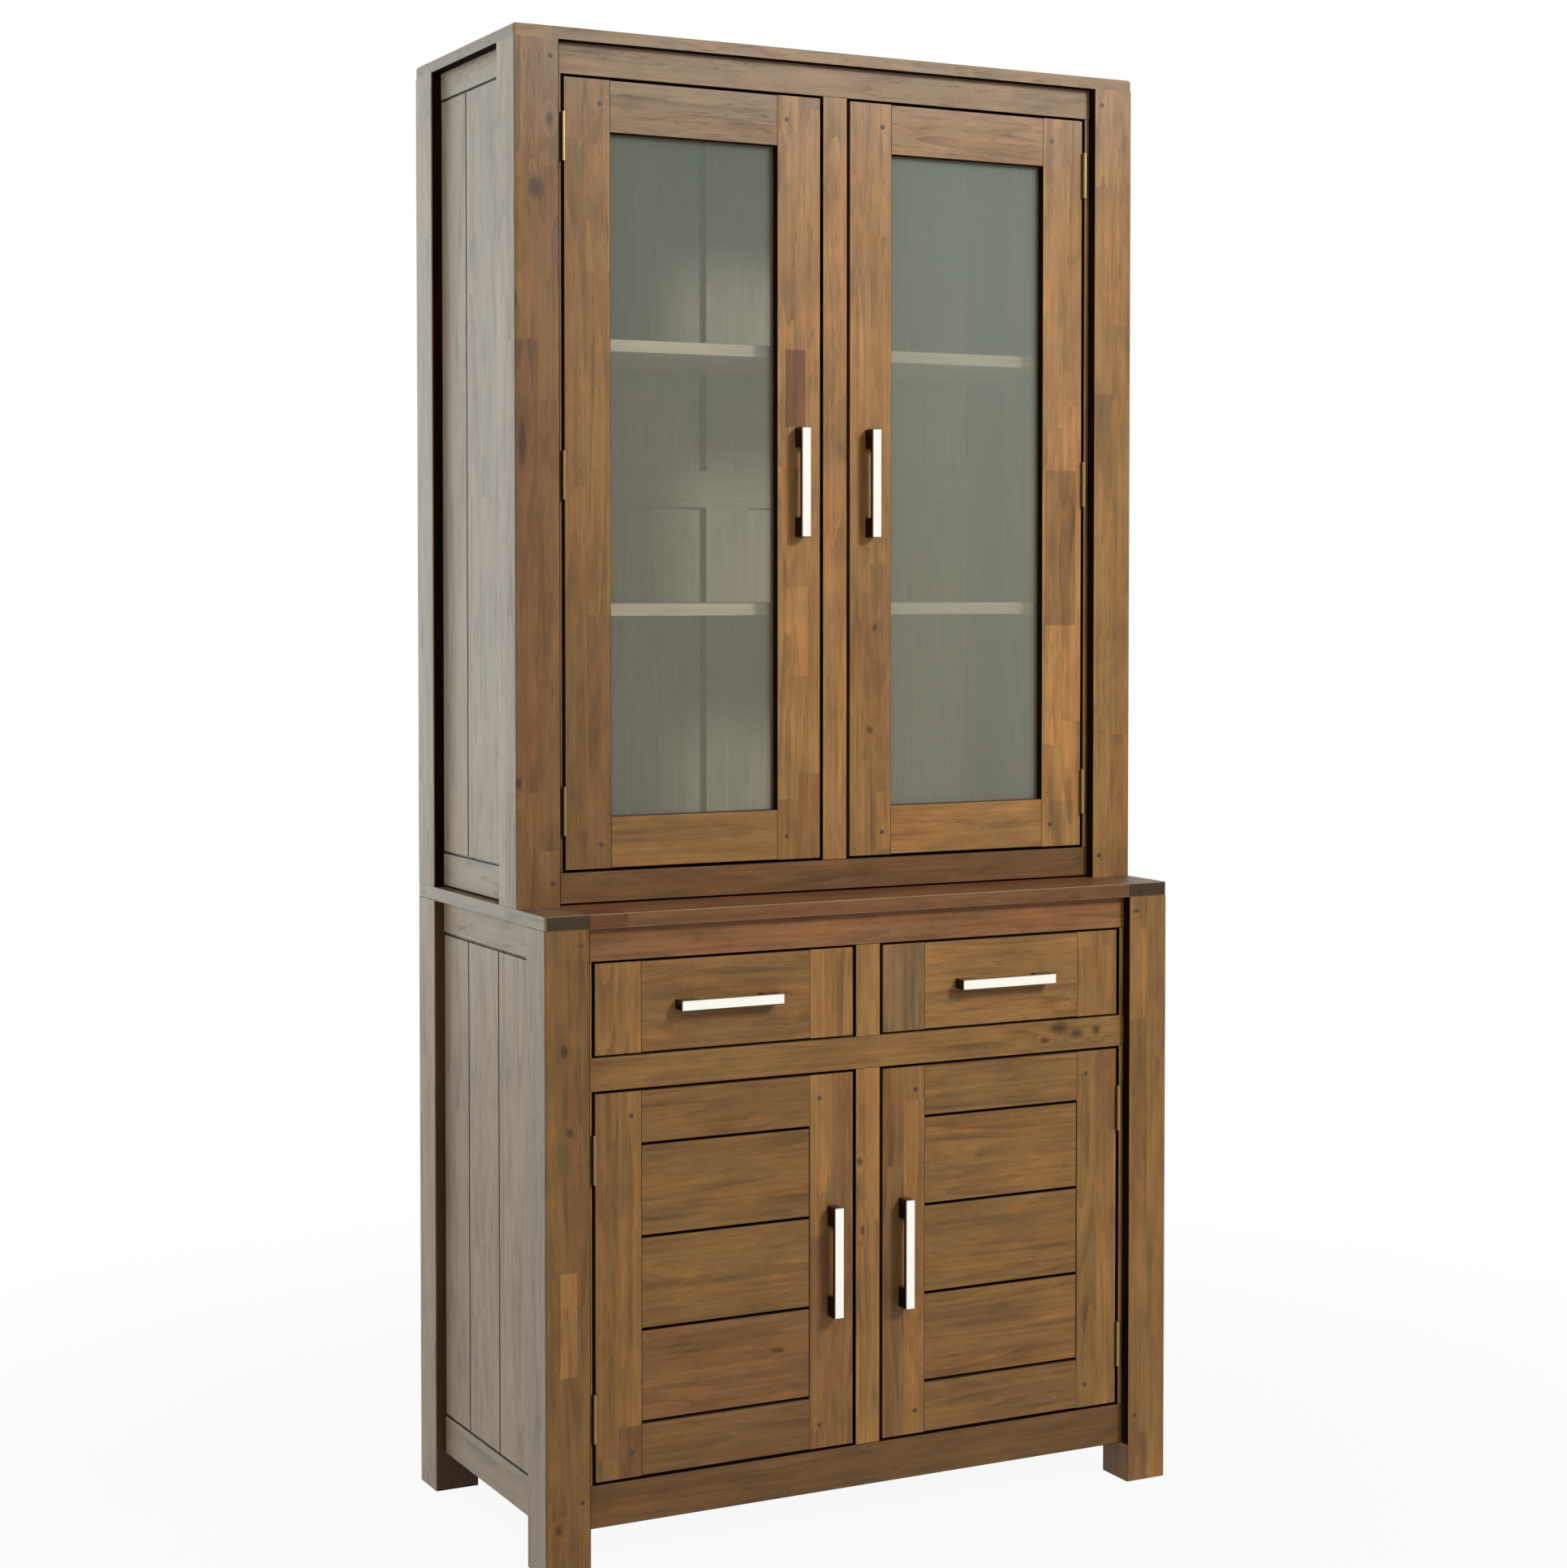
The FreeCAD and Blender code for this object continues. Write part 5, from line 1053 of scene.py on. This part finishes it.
class DRESSER_OT_screws(bpy.types.Operator):
    """Adds the screws of the hinges and handles"""
    bl_idname = "dresser.screws"
    bl_label = "Screws"

    def execute(self, context):
        look = context.scene.dresser_fittings
        brass = screw_head("Brass-plated screw", tuple(look.brass))
        zinc = screw_head("Zinc-plated screw", tuple(look.steel))
        frame_screws = []
        for side, sign in zip(SIDES, (-1, 1)):
            for door in ("glazed_door_", "base_door_"):
                stiles = door + "stiles_" + side
                low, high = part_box(stiles)
                leaf = (high.x if side == "right" else low.x) + sign * LEAF
                door_screws = []
                for height in HINGE_HEIGHTS[door]:
                    for step in HINGE_SCREW_STEPS:
                        y, z = low.y + HINGE_SCREW_INSET, (height + step) * MM
                        door_screws.append(((leaf, y, z), (sign, 0, 0)))
                        frame_screws.append(((leaf + sign * LEAF_GAP, y, z), (-sign, 0, 0)))
                buttons(f"{door}hinge_screws_{side}", BODY_OF[stiles], brass,
                        door_screws, look.screw_diameter, HINGE_SCREW_RISE)
                handle_screws(door + "handle_" + side, stiles, 2, zinc, look.handle_screw)
            handle_screws("drawer_handle_" + side, "drawer_front_" + side, 0, zinc,
                          look.handle_screw)
        buttons("frame_hinge_screws", BODY_OF["hinge_frame_leaves"], brass,
                frame_screws, look.screw_diameter, HINGE_SCREW_RISE)
        return {"FINISHED"}


class DRESSER_OT_studio(bpy.types.Operator):
    """Lays the floor, sets the light and stands the camera"""
    bl_idname = "dresser.studio"
    bl_label = "Studio"

    def execute(self, context):
        look = context.scene.dresser_studio
        lay_floor(context.scene, look)
        paint_room(context.scene, look)
        hang_lamps(context.scene, look)
        stand_camera(context.scene)
        context.scene.view_settings.view_transform = "Standard"
        return {"FINISHED"}


# The round floor: its sides, and its rings' radii as shares of its own.
FLOOR_SIDES = 96
FLOOR_RINGS = (0.08, 0.3, 1.0)
# The paper still takes a soft shadow up to the first of these distances in metres, and is plain
# white from the second on.
NEAR, FAR = 0.6, 2.0
NEAR_WHITE = 0.93
# The lamps: name, the property with its power, side in metres, place, what it aims at and tint.
LAMPS = (
    ("Left window", "left", 2.0, (-4.0, -0.6, 1.4), (-0.45, 0.0, 1.0), (1, 1, 1)),
    ("Front window", "key", 0.9, (1.9, -3.6, 3.15), (0.0, 0.0, 1.0), (1, 1, 1)),
    ("Side window", "rim", 3.2, (-2.3, 4.6, 1.6), (-0.45, 0.0, 1.2), (0.92, 1.0, 1.0)),
)


def seen_white(tree):
    """Gives 1 to the camera, to reflections and through glass, and 0 to all other light."""
    path = add(tree, "LightPath").node.outputs
    seen = add(tree, "Math", {0: path["Is Glossy Ray"], 1: path["Is Transmission Ray"]},
               operation="MAXIMUM")
    return add(tree, "Math", {0: path["Is Camera Ray"], 1: seen}, operation="MAXIMUM")


def lay_floor(scene, look):
    """Lays a round pale floor that fades into white."""
    points = [(0.0, 0.0, 0.0)]
    for ring in FLOOR_RINGS:
        for k in range(FLOOR_SIDES):
            angle = 2 * math.pi * k / FLOOR_SIDES
            points.append((look.floor_radius * ring * math.cos(angle),
                           look.floor_radius * ring * math.sin(angle), 0.0))
    faces = [(0, 1 + k, 1 + (k + 1) % FLOOR_SIDES) for k in range(FLOOR_SIDES)]
    for ring in range(len(FLOOR_RINGS) - 1):
        inner, outer = 1 + ring * FLOOR_SIDES, 1 + (ring + 1) * FLOOR_SIDES
        for k in range(FLOOR_SIDES):
            after = (k + 1) % FLOOR_SIDES
            faces.append((inner + k, outer + k, outer + after, inner + after))
    mesh = bpy.data.meshes.new("floor")
    mesh.from_pydata(points, [], faces)
    floor = bpy.data.objects.new("floor", mesh)
    scene.collection.objects.link(floor)
    floor.data.materials.append(white_paper(look))


def white_paper(look):
    """Paper, uncoated and matt."""
    # The eye sees white without shine, and a soft shadow near the dresser.
    material, tree = blank("Matt white paper")
    seen = seen_white(tree)
    away = add(tree, "TexCoord", out="Object")
    away = add(tree, "VectorMath", {0: away}, out="Value", operation="LENGTH")
    fade = add(tree, "MapRange", {"Value": away, "From Min": NEAR, "From Max": FAR,
                                  "To Min": NEAR_WHITE}, interpolation_type="SMOOTHSTEP")
    seen = add(tree, "Math", {0: seen, 1: fade}, operation="MULTIPLY")
    paper = add(tree, "BsdfDiffuse", {"Color": (*look.floor, 1)})
    white = add(tree, "Emission", {"Color": (1, 1, 1, 1), "Strength": 1.0})
    add(tree, "OutputMaterial", {0: add(tree, "MixShader", {0: seen, 1: paper, 2: white})})
    return material


def paint_room(scene, look):
    """Makes an even room that looks white and lights the dresser a little."""
    world = bpy.data.worlds.new("White room")
    world.use_nodes = True
    tree = world.node_tree
    tree.nodes.clear()
    strength = add(tree, "MapRange", {"Value": seen_white(tree), "To Min": look.room})
    room = add(tree, "Background", {"Color": (1, 1, 1, 1), "Strength": strength})
    add(tree, "OutputWorld", {0: room})
    scene.world = world


def hang_lamps(scene, look):
    """Hangs the square lamps, each aimed at a place."""
    for name, entry, size, place, aim, tint in LAMPS:
        light = bpy.data.lights.new(name, "AREA")
        light.shape = "SQUARE"
        light.size = size
        light.energy = getattr(look, entry)
        light.color = tint
        lamp = bpy.data.objects.new(name, light)
        lamp.location = place
        lamp.rotation_mode = "QUATERNION"
        lamp.rotation_quaternion = (Vector(aim) - Vector(place)).to_track_quat("-Z", "Y")
        scene.collection.objects.link(lamp)


# The camera stands to the left of the front at chest height, with a long lens. Its place is in
# metres and its turn and tilt in degrees. The rest is in pixels of an image of this height: the
# focal length, and the row, from the top, that the lens's axis meets.
CAMERA_PLACE = (-1.753, -3.400, 1.214)
CAMERA_TURN = 27.05
CAMERA_TILT = -1.83
FOCAL_PIXELS = 3508.3
IMAGE_HEIGHT = 1932
AXIS_PIXEL = 829.8


def stand_camera(scene):
    """Stands the camera and makes it the scene's own."""
    lens = bpy.data.cameras.new("Camera")
    lens.sensor_width = 36
    lens.lens = FOCAL_PIXELS / IMAGE_HEIGHT * lens.sensor_width
    lens.shift_y = (AXIS_PIXEL - IMAGE_HEIGHT / 2) / IMAGE_HEIGHT
    lens.clip_start = 0.1
    lens.clip_end = 100
    camera = bpy.data.objects.new("Camera", lens)
    camera.location = CAMERA_PLACE
    camera.rotation_euler = (math.radians(90 + CAMERA_TILT), 0, math.radians(-CAMERA_TURN))
    scene.collection.objects.link(camera)
    scene.camera = camera


GROUPS = {
    "dresser_timber": DresserTimber,
    "dresser_fittings": DresserFittings,
    "dresser_glass": DresserGlass,
    "dresser_studio": DresserStudio,
}
OPERATORS = (
    DRESSER_OT_hutch, DRESSER_OT_base, DRESSER_OT_glazed_doors, DRESSER_OT_slatted_doors,
    DRESSER_OT_drawers, DRESSER_OT_fittings, DRESSER_OT_pegs, DRESSER_OT_screws,
    DRESSER_OT_studio,
)


class DRESSER_PT_panel(bpy.types.Panel):
    """Lists the dresser's operators and its sizes and colours"""
    bl_idname = "DRESSER_PT_panel"
    bl_label = "Dresser with hutch"
    bl_space_type = "VIEW_3D"
    bl_region_type = "UI"
    bl_category = "Dresser"

    def draw(self, context):
        for operator in OPERATORS:
            self.layout.operator(operator.bl_idname)
        for name, group in GROUPS.items():
            box = self.layout.box()
            for entry in group.__annotations__:
                box.prop(getattr(context.scene, name), entry)


CLASSES = (*GROUPS.values(), *OPERATORS, DRESSER_PT_panel)


def register():
    """Registers the classes and gives the scene their settings."""
    for each in CLASSES:
        bpy.utils.register_class(each)
    for name, group in GROUPS.items():
        setattr(bpy.types.Scene, name, bpy.props.PointerProperty(type=group))


def unregister():
    """Takes back what register gave."""
    for name in GROUPS:
        delattr(bpy.types.Scene, name)
    for each in reversed(CLASSES):
        bpy.utils.unregister_class(each)


def main():
    """Makes the dresser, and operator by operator."""
    register()
    for operator in OPERATORS:
        getattr(bpy.ops.dresser, operator.bl_idname.split(".")[1])()


if __name__ == "__main__":
    main()
